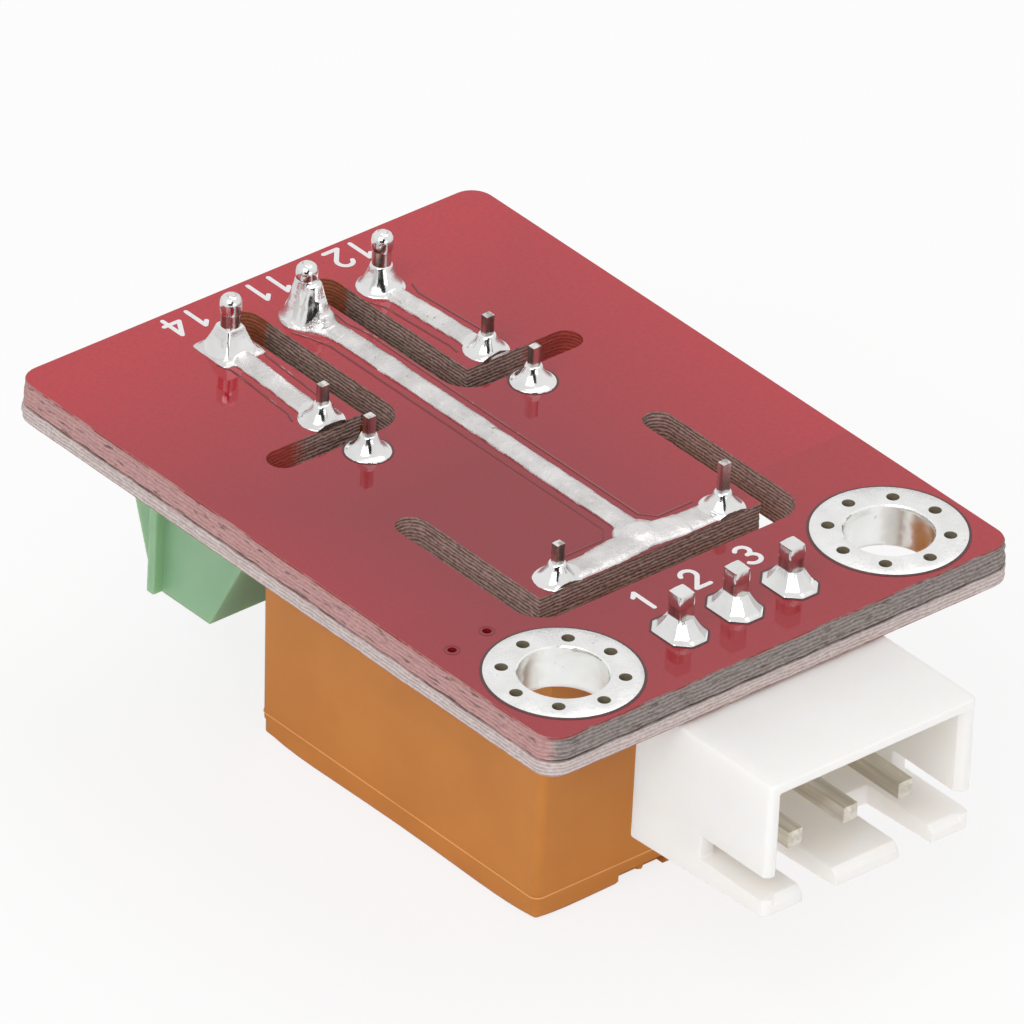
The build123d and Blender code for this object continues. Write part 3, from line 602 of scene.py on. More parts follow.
def build_board():
    """The laminate plate with its slots and holes."""
    shape = bmesh.new()
    rim = plate_outline(*board_x, -board_y, board_y, board_corner)
    walls = [(even_steps(rim, point_step), rim_levels, snapped)]
    for path in slot_paths:
        walls.append((even_steps(slot_outline(path), point_step)[::-1], slot_levels, routed))
    for side in (-1, 1):
        walls.append((ring_loop(ring_x, side * ring_y, barrel_outer, 48), straight, {}))
        for spot in via_places(side):
            walls.append((ring_loop(*spot, via_radius, 20), straight, pierced))
    for spot in covered_vias:
        walls.append((ring_loop(*spot, covered_radius, 16), straight, {}))
    add_plate(shape, walls)
    return shape


board = make_piece("board_plate", build_board(),
                   [red_mask, broken_laminate, milled_laminate, via_lining],
                   stands_for=["circuit_board"])
print("board faces:", len(board.data.polygons))

# %% [markdown]
# ## Solder, tin and the other metals
# Solder is a soft bright metal. Hand-flooded tracks freeze with a grainy skin and small ripples,
# so the finish is a nearly white metal whose roughness and bumps change from place to place.
# The plated rings are the same metal levelled flat by hot air, so they are smoother. The metals
# inside the relay and the terminal block differ only in tone and grain, so one table holds all.

# %% Finishes of metal
def make_tin(name, bright, dull, rough, uneven, grain_scale, grain_depth, speck=0.0):
    """Bright tin with a grainy skin; specks are small dull spots of flux."""
    finish, tree, shader = start_finish(name, rough, metal=1.0)
    grain = cloud(tree, grain_scale, 6.0, roughness=0.65)
    patches = cloud(tree, 0.9, 3.0)
    colour = two_colours(tree, spread(tree, patches, 0.0, 1.0, 0.35, 0.75), bright, dull)
    if speck:
        spots = spread(tree, cloud(tree, 3.2, 2.0), 0.0, speck, 0.69, 0.74)
        colour = two_colours(tree, spots, colour, (0.16, 0.13, 0.10))
    paint(tree, shader, colour)
    dulled = spread(tree, grain, rough - uneven, rough + uneven, 0.3, 0.7)
    fill_named(tree, shader, Roughness=dulled)
    raise_bumps(tree, shader, grain, grain_depth, 0.7)
    return finish


def make_streaked_metal(name, bright, dark, streak_scale, stretch):
    """Metal with dark streaks along one axis; on the soldered pins they are painted reflections."""
    finish, tree, shader = start_finish(name, 0.24, metal=1.0)
    streaks = cloud(tree, streak_scale, 3.0, stretch)
    streaked = spread(tree, streaks, 0.0, 1.0, 0.42, 0.6)
    paint(tree, shader, two_colours(tree, streaked, bright, dark))
    raise_bumps(tree, shader, streaks, 0.01, 0.4)
    return finish


tins = {name: make_tin(name, *values) for name, *values in (
    ("flooded_solder", (0.72, 0.70, 0.69), (0.52, 0.505, 0.495), 0.24, 0.16, 4.5, 0.045, 0.6),
    ("joint_solder", (0.77, 0.765, 0.76), (0.66, 0.655, 0.65), 0.12, 0.05, 2.0, 0.010),
    ("levelled_tin", (0.82, 0.815, 0.81), (0.72, 0.715, 0.71), 0.28, 0.10, 5.0, 0.03, 0.35),
    ("barrel_tin", (0.94, 0.945, 0.93), (0.84, 0.85, 0.825), 0.2, 0.08, 2.5, 0.02, 0.3),
    ("part_metal", (0.76, 0.75, 0.73), (0.62, 0.61, 0.59), 0.25, 0.08, 5.0, 0.01),
    ("nickelled_iron", (0.62, 0.60, 0.56), (0.50, 0.48, 0.45), 0.32, 0.1, 3.0, 0.01),
    ("zinc_plate", (0.74, 0.75, 0.76), (0.62, 0.63, 0.66), 0.3, 0.1, 4.0, 0.008),
    ("nickelled_brass", (0.76, 0.72, 0.62), (0.64, 0.60, 0.50), 0.28, 0.08, 3.0, 0.008),
    ("spring_bronze", (0.74, 0.50, 0.26), (0.62, 0.40, 0.20), 0.3, 0.08, 3.0, 0.006),
    ("enamelled_wire", (0.60, 0.24, 0.10), (0.48, 0.17, 0.07), 0.3, 0.08, 6.0, 0.02),
)}
joint_solder, part_metal = tins["joint_solder"], tins["part_metal"]
# painted reflections: the dark vertical streaks on the soldered pins stand in for what the pins
# reflect
pin_tin = make_streaked_metal("pin_tin", (0.76, 0.74, 0.71), (0.36, 0.33, 0.31), 3.2, (1, 1, 0.07))
mating_tin = make_streaked_metal("mating_tin", (0.74, 0.70, 0.62), (0.58, 0.54, 0.46),
                              3.0, (0.07, 1, 1))
print("metal finishes:", *tins, pin_tin.name, mating_tin.name)

# %% [markdown]
# ## The plated mounting rings
# Each mounting hole has a barrel of plating with a flat ring on both faces. Eight small holes tie
# them together, so the plating can't tear off when a screw is tightened. Both flat faces are filled
# between a rounded rim, the barrel and the small holes, as the board's own faces are.

# %% Build the mounting rings
plating = 0.05
barrel_wall = {"depth": 0.02, "grain": 1.2, "material": 2}
via_wall = {"material": 1}


def build_ring(side):
    """A barrel with a flat ring on both faces, pierced by eight small holes."""
    shape = bmesh.new()
    low, high = board_low - plating, board_high + plating
    low_rim = [(low, 0.03, 0.0), (board_low - plating * 0.6, 0.0, 0.0),
               (board_low + 0.01, 0.0, 0.0)]
    high_rim = [(board_high - 0.01, 0.0, 0.0), (board_high + plating * 0.6, 0.0, 0.0),
                (high, 0.03, 0.0)]
    bore = [(low, 0.05, 0.0), *((board_low + board_thick * i / 12, 0.0, 1.0) for i in range(13)),
            (high, 0.05, 0.0)]
    outer = arc(ring_x, side * ring_y, rim_radius, 0, 360, 96)[:-1]
    walls = [(ring_loop(ring_x, side * ring_y, barrel_bore, 72), bore, barrel_wall)]
    for spot in via_places(side):
        loop = ring_loop(*spot, via_radius - 0.01, 24)
        walls.append((loop, [(low, 0.0, 0.0), (high, 0.0, 0.0)], via_wall))
    low_ring = add_wall(shape, outer, low_rim)[0]
    high_ring = add_wall(shape, outer, high_rim)[1]
    add_plate(shape, walls, [low_ring], [high_ring])
    return shape


for name, side in (("near", -1), ("far", 1)):
    ring = make_piece(f"plated_ring_{name}", build_ring(side),
                      [tins["levelled_tin"], via_lining, tins["barrel_tin"]],
                      stands_for=[f"mounting_ring_{name}"])
    print(ring.name, len(ring.data.polygons), "faces")

# %% [markdown]
# ## Relief of the mask
# Mask is thinner over the edges of buried copper, so a fine dark line runs beside every track and
# round every opening for solder. The lines are narrow ribbons: closed ones between two outlines,
# open ones beside a run of points. Two covered holes near a corner show a faint collar.

# %% Shapes of the lines in the mask
def long_octagon(angle):
    """Reach of an octagon that is longer along X, as a share of its reach along Y."""
    along, across = abs(math.cos(angle)), abs(math.sin(angle))
    return min(1.31 / max(along, 0.01), 1 / max(across, 0.01), 1.725 / (along + across))


def round_edge(angle):
    """A circle reaches equally far all round."""
    return 1.0


def ring_at(shape, x, y, height, reach, edge, sides):
    """A closed ring of vertices round a place, at a height over the board."""
    ring = []
    for i in range(sides):
        angle = 2 * math.pi * i / sides
        r = reach * edge(angle)
        spot = (x + r * math.cos(angle), y + r * math.sin(angle), board_high + height)
        ring.append(shape.verts.new(spot))
    return ring


def add_band(shape, x, y, inner, outer, edge=round_edge, sides=96):
    """A flat closed ribbon on the mask between two reaches."""
    join_rings(shape, [ring_at(shape, x, y, 0.004, inner, edge, sides),
                       ring_at(shape, x, y, 0.010, outer, edge, sides)])


def add_ribbon(shape, points):
    """A narrow open ribbon on the mask along a run of points, with a raised middle."""
    rings = []
    for i, (x, y) in enumerate(points):
        side = sideways(points, i, 0.06)
        rings.append([shape.verts.new((x + side.x * s, y + side.y * s, board_high + level))
                      for s, level in ((-1, 0.003), (0, 0.018), (1, 0.003))])
    for first, second in zip(rings, rings[1:]):
        for quad in zip(first, first[1:], second[1:], second):
            shape.faces.new(quad)


edge_lacquer = two_tone("edge_lacquer", 0.12, (0.17, 0.005, 0.010), (0.22, 0.008, 0.014), 2.0)
bare_gap = two_tone("bare_gap", 0.5, (0.055, 0.020, 0.020), (0.10, 0.035, 0.035), 2.0)
print("finishes:", edge_lacquer.name, bare_gap.name)

# %% Build the lines in the mask
shape = bmesh.new()
for side in (-1, 1):
    add_band(shape, ring_x, side * ring_y, 2.79, 2.90)
    add_band(shape, coil_x, side * pin_y, 0.86, 0.92)
for way in (-1, 0, 1):
    add_band(shape, header_x, way * header_step, 0.79, 0.865, long_octagon)
make_piece("mask_openings", shape, [bare_gap])

shape = bmesh.new()
for side in (-1, 1):
    for way in (-1, 1):
        add_ribbon(shape, [(-13.15, side * 3.5 + way * 1.02), (-12.55, side * 3.52 + way * 0.80),
                           (-9.20, side * 3.74 + way * 0.80), (-8.75, side * 3.81 + way * 0.92)])
add_ribbon(shape, [(-13.2, 1.02), (-12.5, 0.95), (-11.6, 1.12), (3.05, 1.16), (3.55, 1.6),
                   (3.55, 3.2)])
add_ribbon(shape, [(-13.2, -1.02), (-12.5, -0.72), (-11.7, -0.50), (3.05, -0.46), (3.55, -0.95),
                   (3.55, -3.2)])
add_ribbon(shape, [(5.03, -3.1), (5.03, 3.1)])
for spot in covered_vias:
    add_band(shape, *spot, 0.22, 0.30, sides=32)
make_piece("mask_relief", shape, [edge_lacquer], smooth_angle=20)
print("lines in the mask made")

# %% [markdown]
# ## Solder as overlapping drops
# Molten solder pulls itself into smooth fillets where a track meets a joint. Simple closed shapes
# are laid over each other, a voxel remesh melts them into one skin, and smoothing rounds the
# creases as surface tension does. Afterwards the slots cut it, as the router cut the real pads.

# %% Shapes that solder is made of
def square_edge(power):
    """The reach of a square by angle; a higher power makes its corners sharper."""
    def reach(angle):
        return (abs(math.cos(angle)) ** power + abs(math.sin(angle)) ** power) ** (-1 / power)
    return reach


def add_stack(shape, x, y, levels, edge=round_edge, sides=48):
    """A closed solid from rings at levels of (height over the board, reach)."""
    rings = [ring_at(shape, x, y, height, reach, edge, sides) for height, reach in levels]
    join_rings(shape, rings)
    shape.faces.new(rings[0][::-1])
    shape.faces.new(rings[-1])


def add_run(shape, start, end, width, height):
    """A straight domed run between two points on the board."""
    a, b = Vector(start), Vector(end)
    along = (b - a).normalized()
    side = Vector((-along.y, along.x))
    rings = []
    sides, steps = 10, max(2, int((b - a).length / 0.5))
    for s in range(steps + 1):
        middle = a + (b - a) * s / steps
        swell = 1 + 0.10 * noise.noise(Vector((middle.x * 0.6, middle.y * 0.6, 3.0)))
        ring = []
        for i in range(sides + 1):
            angle = math.pi * i / sides
            spot = middle + side * (math.cos(angle) * width / 2 * swell)
            level = math.sin(angle) ** 0.8 * height * swell - 0.04
            ring.append(shape.verts.new((spot.x, spot.y, board_high + level)))
        rings.append(ring)
    join_rings(shape, rings)
    shape.faces.new(rings[0])
    shape.faces.new(rings[-1][::-1])


print("solder shapes ready")

# %% Melt the shapes into one skin
ripples_per_mm = 2.2
cutter_levels = [(board_low - 1, 0, 0), (board_high + 2, 0, 0)]


def slot_cutter():
    """The three slots as one solid that cuts solder off at their edges."""
    shape = bmesh.new()
    for path in slot_paths:
        add_plate(shape, [(slot_outline(path), cutter_levels, {})])
    return place("slot_cutter", as_mesh("slot_cutter", shape))


def melt(shape, cutter, voxel=0.045, rounds=7, ripple=0.02):
    """One smooth skin round overlapping closed shapes, cut at the slots."""
    drop = place("melting", as_mesh("melting", shape))
    remesh = drop.modifiers.new("remesh", "REMESH")
    remesh.mode = "VOXEL"
    remesh.voxel_size = voxel
    relax = drop.modifiers.new("relax", "SMOOTH")
    relax.factor = 0.5
    relax.iterations = rounds
    cut = drop.modifiers.new("cut", "BOOLEAN")
    cut.operation = "DIFFERENCE"
    cut.solver = "EXACT"
    cut.object = cutter
    depsgraph = bpy.context.evaluated_depsgraph_get()
    ready = bpy.data.meshes.new_from_object(drop.evaluated_get(depsgraph))
    result = bmesh.new()
    result.from_mesh(ready)
    for vertex in result.verts:
        vertex.co += vertex.normal * ripple * noise.noise(vertex.co * ripples_per_mm)
    bpy.data.objects.remove(drop)
    bpy.data.meshes.remove(ready)
    return result


cutter = slot_cutter()
print("slot cutter has", len(cutter.data.polygons), "faces")

# %% [markdown]
# ## The three flooded tracks
# The switched contacts carry mains current, so their tracks are left bare and flooded with solder.
# The common track runs the length of the board and opens into a bar between two relay pins. Each
# joint is a cone whose sides bend inwards, as solder climbs a hot pin.

# %% Shapes of the tracks
def climbing_cone(foot, neck, height, bend, rings=12):
    """Levels of a cone that solder makes as it climbs a pin; a larger bend makes it hollower."""
    levels = [(-0.05, foot * 0.98), (0.02, foot)]
    for i in range(1, rings + 1):
        share = i / rings
        levels.append((0.05 + (height - 0.05) * share ** bend, foot + (neck - foot) * share))
    return levels


relay_cone = climbing_cone(0.88, 0.30, 0.72, 2.1)
terminal_cone = climbing_cone(0.93, 0.39, 1.0, 1.9)
square_cone = climbing_cone(0.95, 0.39, 1.05, 2.0)
common_cone = climbing_cone(0.98, 0.40, 1.78, 1.5)
ridge = [(0.28, 0.04, climbing_cone(0.88, 0.34, 1.60, 1.35)),
         (0.56, 0.08, climbing_cone(0.72, 0.30, 1.05, 1.25)),
         (0.85, 0.14, climbing_cone(0.62, 0.30, 0.62, 1.2))]
square_foot = [(-0.04, 0.99), (0.04, 0.99), (0.09, 0.80)]


def track_to_contact(side):
    """An outer terminal's track to its relay pin."""
    shape = bmesh.new()
    start, end = (terminal_x, side * terminal_step), (contact_x, side * pin_y)
    add_run(shape, start, end, 0.92, 0.26)
    if side < 0:
        add_stack(shape, *start, square_cone, square_edge(12))
        add_stack(shape, *start, square_foot, square_edge(12))
    else:
        add_stack(shape, *start, terminal_cone)
    add_stack(shape, *end, relay_cone)
    return shape


def track_to_commons():
    """The long common track with its bar and three joints."""
    shape = bmesh.new()
    bend, fork = (terminal_x + 1.9, 0.3), (common_x - 0.2, 0.35)
    add_run(shape, (terminal_x, 0), bend, 1.0, 0.30)
    add_run(shape, bend, fork, 0.95, 0.28)
    for side in (-1, 1):
        add_run(shape, fork, (common_x, side * 2.0), 1.35, 0.22)
        add_run(shape, (common_x, side * 1.6), (common_x, side * pin_y), 1.2, 0.20)
        add_stack(shape, common_x, side * pin_y, relay_cone)
    add_stack(shape, fork[0] - 0.25, 0.3, [(-0.05, 0.95), (0.1, 0.85), (0.27, 0.4)])
    add_stack(shape, terminal_x, 0, common_cone)
    for along, aside, cone in ridge:
        add_stack(shape, terminal_x + along, aside, cone)
    return shape


print("cones ready, levels in one:", len(relay_cone))

# %% Build the flooded tracks
joint_reach = 0.9
joint_spots = [(terminal_x, way * terminal_step) for way in (-1, 0, 1)]
joint_spots += [(x, side * pin_y) for x in (common_x, contact_x) for side in (-1, 1)]


def second_finish(shape, chosen):
    """Gives the second finish to the faces whose middles are chosen."""
    for face in shape.faces:
        if chosen(face.calc_center_median()):
            face.material_index = 1


def near_joint(spot):
    """Whether a spot is close to a joint, where solder is smoother."""
    return any(math.hypot(spot.x - x, spot.y - y) < joint_reach for x, y in joint_spots)


tracks = {"open": track_to_contact(-1), "closed": track_to_contact(1),
          "common": track_to_commons()}
for name, shape in tracks.items():
    skin = melt(shape, cutter)
    second_finish(skin, near_joint)
    piece = make_piece(f"solder_{name}", skin, [tins["flooded_solder"], joint_solder],
                       stands_for=[f"solder_track_{name}"], smooth_angle=60)
    print(piece.name, len(piece.data.polygons), "faces")

# %% [markdown]
# ## Single joints
# The coil's pins and the signal pins stand in pads of their own. The coil's pads are round and the
# signal pads are long octagons, so the same stack of rings is used with two kinds of edge.

# %% Build the single joints
for name, side in (("near", -1), ("far", 1)):
    shape = bmesh.new()
    add_stack(shape, coil_x, side * pin_y, relay_cone)
    make_piece(f"solder_coil_{name}", melt(shape, cutter, 0.05, 4, 0.01),
               [joint_solder], stands_for=[f"coil_solder_{name}"], smooth_angle=60)

# every part that the slots touch is cut, so the cutter goes
cutter_mesh = cutter.data
bpy.data.objects.remove(cutter)
bpy.data.meshes.remove(cutter_mesh)

header_cone = climbing_cone(0.80, 0.35, 0.70, 1.5, 10)
shape = bmesh.new()
for way in (-1, 0, 1):
    add_stack(shape, header_x, way * header_step, header_cone, long_octagon, 96)
for vertex in shape.verts:
    lift = noise.noise(vertex.co * 1.7) * (vertex.co.z - board_high)
    vertex.co += Vector((0, 0, 0.03)) * lift
joints = make_piece("solder_header", shape, [joint_solder],
                    stands_for=["header_solder_joints"], smooth_angle=20)
print("header joints", len(joints.data.polygons), "faces")

# %% [markdown]
# ## Solder on the pin tips
# Where a pin went through the solder wave its tip kept a small bright drop. On the round pins the
# drop is a dome; on the square pins it is a thin coat that keeps the cut corners of the tip. Both
# are stacks of rings that close over the pin. Below the tip the coat takes the pin finish, whose
# dark streaks are painted reflections, so the coat turns from dull to bright at the tip.

# %% Build the drops on the tips
round_drop = [(1.55, 0.362), (1.62, 0.39), (1.75, 0.41), (1.95, 0.405), (2.10, 0.385),
              (2.20, 0.315), (2.27, 0.23), (2.31, 0.12), (2.32, 0.03)]
square_coat = [(0.60, 0.335), (1.0, 0.330), (1.12, 0.34), (1.25, 0.355), (1.50, 0.35),
               (1.64, 0.335), (1.765, 0.21), (1.78, 0.12)]
bright_from = 1.1


def near_tip(spot):
    """Whether a spot is high enough over the board to take the bright solder finish."""
    return spot.z > board_high + bright_from


for way in (-1, 0, 1):
    shape = bmesh.new()
    add_stack(shape, terminal_x, way * terminal_step, round_drop, sides=40)
    make_piece(f"terminal_drop_{way + 2}", shape, [joint_solder], smooth_angle=60)
    shape = bmesh.new()
    add_stack(shape, header_x, way * header_step, square_coat, square_edge(9))
    # below the tip the coat keeps the pin finish, with its painted reflections
    second_finish(shape, near_tip)
    coat = make_piece(f"header_coat_{way + 2}", shape, [pin_tin, joint_solder],
                      smooth_angle=25)
    print("drop and", coat.name, "made")

# %% [markdown]
# ## Printed marks
# White ink names the contacts on such boards. Plain numbers are printed here: the usual contact
# numbers at the terminals and the pin numbers at the header. A digit is drawn as a pen would draw
# it, from short bars with round ends, and every bar lies a hair higher than the one before.

# %% Digits as pen strokes, each in a box one unit high
digit_strokes = {
    "1": [(0.16, 0.80), (0.36, 1.0), (0.36, 0.0)],
    "2": [*oval(0.32, 0.72, 0.27, 0.28, 165, -40), (0.05, 0.0), (0.62, 0.0)],
    "3": [*oval(0.30, 0.76, 0.25, 0.24, 150, -90), *oval(0.30, 0.26, 0.29, 0.26, 90, -150)],
    "4": [(0.48, 0.0), (0.48, 1.0), (0.04, 0.30), (0.66, 0.30)],
}
digit_height, digit_step, stroke_width = 1.1, 0.86, 0.18
ink_low, ink_depth, ink_lift = 0.002, 0.012, 0.0004
white_ink = two_tone("white_ink", 0.55, (0.80, 0.78, 0.80), (0.90, 0.89, 0.90), 3.0, 3.0)
print("digits:", list(digit_strokes), "finish:", white_ink.name)

# %% Print the numbers
def add_pen_stroke(shape, a, b, top):
    """A thin bar of ink with round ends between two points on the board."""
    turn, end = heading(a, b), stroke_width / 2
    loop = arc(*b, end, turn - 90, turn + 90, 6) + arc(*a, end, turn + 90, turn + 270, 6)
    rings = [[shape.verts.new((x, y, board_high + z)) for x, y in loop] for z in (ink_low, top)]
    join_rings(shape, rings)
    shape.faces.new(rings[1])


def print_number(text, x, y, turn):
    """A number whose strokes lie on the board, its middle at a place and turned by some degrees."""
    shape = bmesh.new()
    pose = Matrix.Translation((x, y, 0)) @ Matrix.Rotation(math.radians(turn), 4, "Z")
    top = ink_depth
    for index, digit in enumerate(text):
        left = (index - len(text) / 2) * digit_step + 0.1
        points = []
        for u, v in digit_strokes[digit]:
            spot = pose @ Vector(((left + u) * digit_height, (v - 0.5) * digit_height, 0))
            points.append((spot.x, spot.y))
        for a, b in zip(points, points[1:]):
            add_pen_stroke(shape, a, b, top)
            top += ink_lift
    make_piece(f"print_{text}", shape, [white_ink], smooth_angle=20)


for text, y in (("14", -3.6), ("11", 0.2), ("12", 4.0)):
    print_number(text, -15.95, y, -90)
for text, y in (("1", -2.3), ("2", 0.0), ("3", 2.54)):
    print_number(text, 7.3, y, 90)
print("numbers printed")

# %% [markdown]
# ## Finishes of the mouldings
# The relay case is dull orange plastic, the terminal block is pale green polyamide, and the header
# is natural nylon, which lets some light through. Mouldings differ in gloss and in how fine their
# eroded texture is, so one function takes those as values, and one table holds them.

# %% Plastic finishes
def make_moulding(name, first, second, rough, texture_scale, texture_depth, glow=0.0, deep=0.4):
    """Moulded plastic with a faint texture; glow is how much light spreads inside it."""
    finish, tree, shader = start_finish(name, rough)
    tone = spread(tree, cloud(tree, 0.35, 2.0), 0.0, 1.0, 0.35, 0.65)
    paint(tree, shader, two_colours(tree, tone, first, second))
    fill_named(tree, shader, Subsurface_Weight=glow, Subsurface_Radius=(1.0, 0.85, 0.7),
               Subsurface_Scale=deep * MM)
    raise_bumps(tree, shader, cloud(tree, texture_scale), texture_depth, 0.5)
    return finish


plastics = {name: make_moulding(name, *values) for name, *values in (
    ("orange_case", (0.56, 0.20, 0.026), (0.60, 0.22, 0.030), 0.42, 9.0, 0.012),
    # the mould line's lighter orange is a painted highlight
    ("painted_mould_highlight", (0.80, 0.40, 0.14), (0.88, 0.48, 0.18), 0.35, 9.0, 0.002),
    ("green_block", (0.25, 0.47, 0.27), (0.29, 0.52, 0.31), 0.38, 8.0, 0.010, 0.5, 1.2),
    ("white_nylon", (0.94, 0.895, 0.845), (0.955, 0.915, 0.87), 0.34, 7.0, 0.008, 0.7, 2.0),
    ("black_base", (0.018, 0.018, 0.018), (0.028, 0.028, 0.028), 0.5, 8.0, 0.01),
    ("bobbin_plastic", (0.66, 0.62, 0.50), (0.72, 0.68, 0.56), 0.4, 6.0, 0.01, 0.1),
    ("black_epoxy", (0.012, 0.012, 0.013), (0.022, 0.022, 0.024), 0.55, 14.0, 0.012),
    ("chip_glaze", (0.015, 0.015, 0.017), (0.03, 0.03, 0.034), 0.3, 10.0, 0.006),
    ("lamp_resin", (0.82, 0.78, 0.60), (0.86, 0.82, 0.66), 0.18, 4.0, 0.004, 0.4),
)}
black_epoxy, bobbin_plastic = plastics["black_epoxy"], plastics["bobbin_plastic"]
print("plastic finishes:", *plastics)

# %% [markdown]
# ## The mould line of the relay case
# The two halves of the mould left a fine raised line round the case, close to its closed end. It is
# built as a thin bead on the case's own outline, read from the CAD case at that height, so it
# follows the draft and the round corners. Its lighter orange is a painted highlight.

# %% Build the mould line
mould_level = 1.0
bead = [(mould_level - 0.03, 0.03, 0.0), (mould_level - 0.015, -0.03, 0.0),
        (mould_level + 0.02, -0.03, 0.0), (mould_level + 0.035, 0.03, 0.0)]


def outline_at(node, level):
    """Outline of a CAD piece cut at a height in millimetres, counter-clockwise."""
    shape = bmesh.new()
    shape.from_mesh(node.data)
    cut = bmesh.ops.bisect_plane(shape, geom=[*shape.verts, *shape.edges, *shape.faces],
                                 plane_co=(0, 0, level * MM), plane_no=(0, 0, 1))
    spots = [Vector(v.co[:2]) / MM for v in cut["geom_cut"] if isinstance(v, bmesh.types.BMVert)]
    shape.free()
    return [tuple(spots[i]) for i in geometry.convex_hull_2d(spots)]


shape = bmesh.new()
loop = even_steps(outline_at(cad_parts["relay_cover"], mould_level), 0.4)
add_wall(shape, loop, bead)
make_piece("mould_line", shape, [plastics["painted_mould_highlight"]])
print("mould line:", len(loop), "points")

# %% [markdown]
# ## The small parts on the component side
# A transistor, a diode, two resistors and a chip lamp hang under the board. Each takes its place
# and size from its CAD box. Their bodies, end caps and legs have different finishes, so each is one
# mesh of bevelled blocks with a material per block, in the order moulded body, metal, and mark.

# %% Blocks and boxes for small parts
def add_block(shape, low, high, edge=0.04, material=0):
    """A block between two corners with narrow bevels, added to a shape."""
    middle = [(a + b) / 2 for a, b in zip(low, high)]
    size = [b - a for a, b in zip(low, high)]
    made = bmesh.ops.create_cube(shape, size=1.0)
    bmesh.ops.scale(shape, vec=size, verts=made["verts"])
    bmesh.ops.translate(shape, vec=middle, verts=made["verts"])
    edges = list({e for v in made["verts"] for e in v.link_edges})
    known = set(shape.faces) - {f for v in made["verts"] for f in v.link_faces}
    bmesh.ops.bevel(shape, geom=edges, offset=edge, segments=2, affect="EDGES")
    for face in shape.faces:
        if face not in known:
            face.material_index = material


def node_box(name):
    """Lowest and highest corner of a CAD node in millimetres."""
    low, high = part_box(name)
    return low / MM, high / MM


print("block helpers ready")

# %% Build the chips and the lamp
cap, proud = 0.4, 0.03


def add_chip(shape, low, high, depth):
    """A ceramic chip with an end cap at both ends; depth is its height under the board."""
    top = board_low - depth
    add_block(shape, (low.x + proud, low.y + proud, top + proud),
              (high.x - proud, high.y - proud, board_low - proud))
    for x0, x1 in ((low.x, low.x + cap), (high.x - cap, high.x)):
        add_block(shape, (x0, low.y, top), (x1, high.y, board_low), 0.05, 1)


for name in ("base_resistor", "led_resistor"):
    shape = bmesh.new()
    add_chip(shape, *node_box(name), 0.5)
    make_piece(f"chip_{name}", shape, [plastics["chip_glaze"], part_metal],
               stands_for=[name])

low, high = node_box("indicator_led")
shape = bmesh.new()
add_chip(shape, low, high, 0.4)
add_block(shape, (low.x + cap, low.y + proud, low.z),
          (high.x - cap, high.y - proud, board_low - 0.35), 0.12, 2)
make_piece("chip_lamp", shape, [bobbin_plastic, part_metal, plastics["lamp_resin"]],
           stands_for=["indicator_led"])
print("chips made")

# %% Build the transistor and the diode
leg_half = 0.2
leg_blocks = (((-0.1, 0.16), 0.45, 0.57), ((0.04, 0.16), 0.0, 0.57), ((0.04, 0.5), 0.0, 0.14))


def add_leg(shape, x, edge, side):
    """A bent leg: out of the body, down to the board and along it."""
    for reach, z0, z1 in leg_blocks:
        y0, y1 = sorted(edge + side * r for r in reach)
        add_block(shape, (x - leg_half, y0, board_low - z1), (x + leg_half, y1, board_low - z0),
                  0.03, 1)


low, high = node_box("driver_transistor")
shape = bmesh.new()
body_low, body_high = low.y + 0.5, high.y - 0.5
add_block(shape, (low.x, body_low, low.z), (high.x, body_high, board_low - 0.1), 0.08)
middle = (low.x + high.x) / 2
for step, edge, side in ((-0.967, body_low, -1), (0.967, body_low, -1), (0.0, body_high, 1)):
    add_leg(shape, middle + step, edge, side)
make_piece("transistor", shape, [black_epoxy, part_metal],
           stands_for=["driver_transistor"])

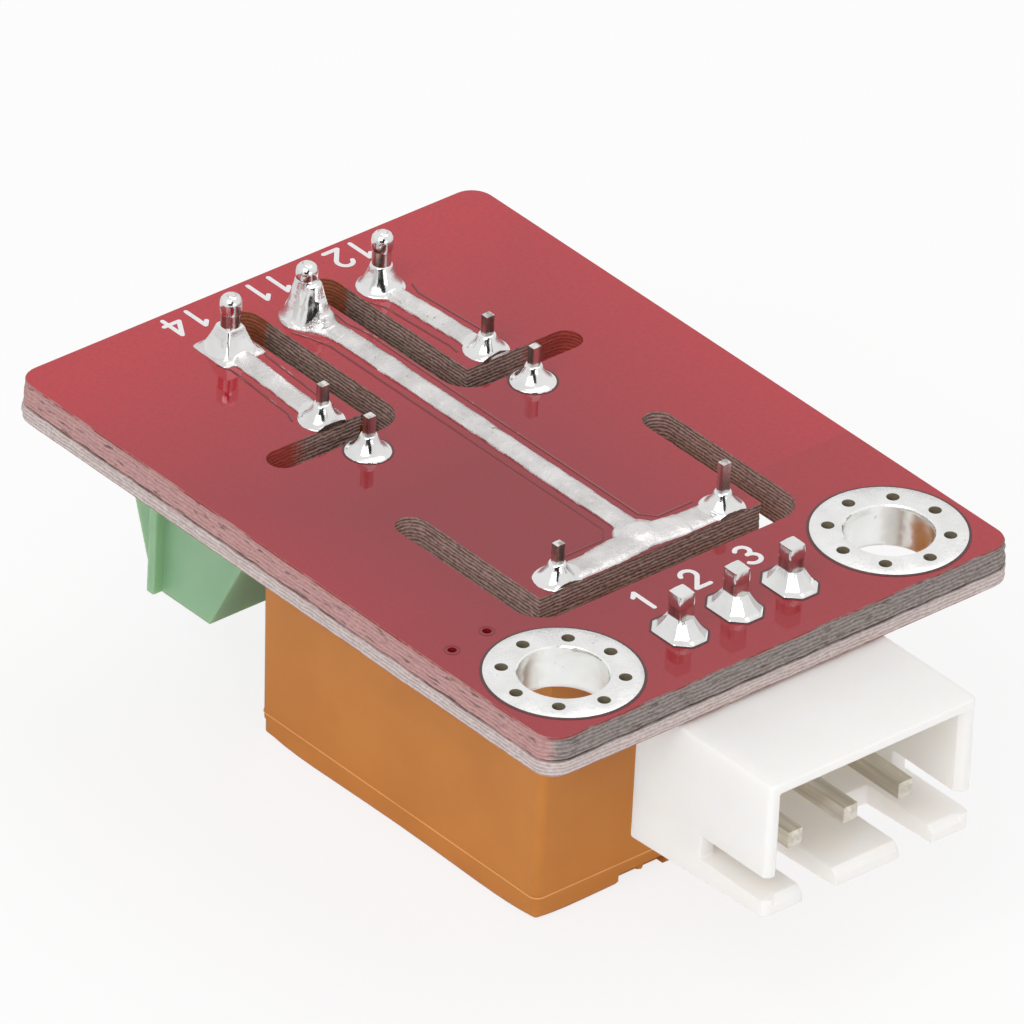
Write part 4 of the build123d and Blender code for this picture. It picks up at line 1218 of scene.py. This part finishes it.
low, high = node_box("flyback_diode")
shape = bmesh.new()
add_block(shape, (low.x + 0.5, low.y, low.z), (high.x - 0.5, high.y, board_low - 0.1), 0.08)
add_block(shape, (low.x + 0.75, low.y + 0.02, low.z - 0.004),
          (low.x + 1.0, high.y - 0.02, low.z + 0.1), 0.003, 2)
for x0, x1 in ((low.x, low.x + 0.62), (high.x - 0.62, high.x)):
    add_block(shape, (x0, low.y + 0.14, board_low - 0.2), (x1, high.y - 0.14, board_low), 0.03, 1)
make_piece("diode", shape, [black_epoxy, part_metal, white_ink],
           stands_for=["flyback_diode"])
print("transistor and diode made")

# %% [markdown]
# ## Finishes for the CAD pieces that stay
# Flat, straight and turned parts already have their real shape in the CAD model. They keep it and
# only change their finish. A narrow bevel on the mouldings catches light the way real edges do.

# %% Dress the CAD pieces
dress = [
    (plastics["orange_case"], ["relay_cover"]),
    (plastics["black_base"], ["relay_base"]),
    (plastics["green_block"], ["terminal_housing"]),
    (plastics["white_nylon"], ["header_shroud"]),
    (bobbin_plastic, ["coil_bobbin"]),
    (tins["enamelled_wire"], ["coil_winding"]),
    (tins["nickelled_iron"], ["iron_core", "iron_yoke", "armature"]),
    (tins["spring_bronze"], ["contact_spring"]),
    (pin_tin, ["open_contact", "closed_contact", "common_terminal", "coil_pin_near",
               "coil_pin_far", *(f"terminal_contact_{i}" for i in (1, 2, 3))]),
    (mating_tin, ["header_pin_signal", "header_pin_supply", "header_pin_ground"]),
    (tins["zinc_plate"], [f"clamp_screw_{i}" for i in (1, 2, 3)]),
    (tins["nickelled_brass"], [f"clamp_cage_{i}" for i in (1, 2, 3)]),
]
for finish, names in dress:
    for name in names:
        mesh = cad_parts[name].data
        mesh.materials.clear()
        mesh.materials.append(finish)
print("dressed", sum(len(names) for _, names in dress), "CAD pieces")

# %% Soften the edges of the mouldings
def soften_edges(node):
    """A narrow bevel on the sharp edges of a CAD piece."""
    weld = node.modifiers.new("weld", "WELD")
    weld.merge_threshold = 0.002 * MM
    bevel = node.modifiers.new("bevel", "BEVEL")
    bevel.width = 0.06 * MM
    bevel.segments = 2
    bevel.limit_method = "ANGLE"
    bevel.angle_limit = math.radians(40)
    bevel.harden_normals = True


for name in ("relay_cover", "terminal_housing", "header_shroud"):
    soften_edges(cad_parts[name])
print("edges softened")
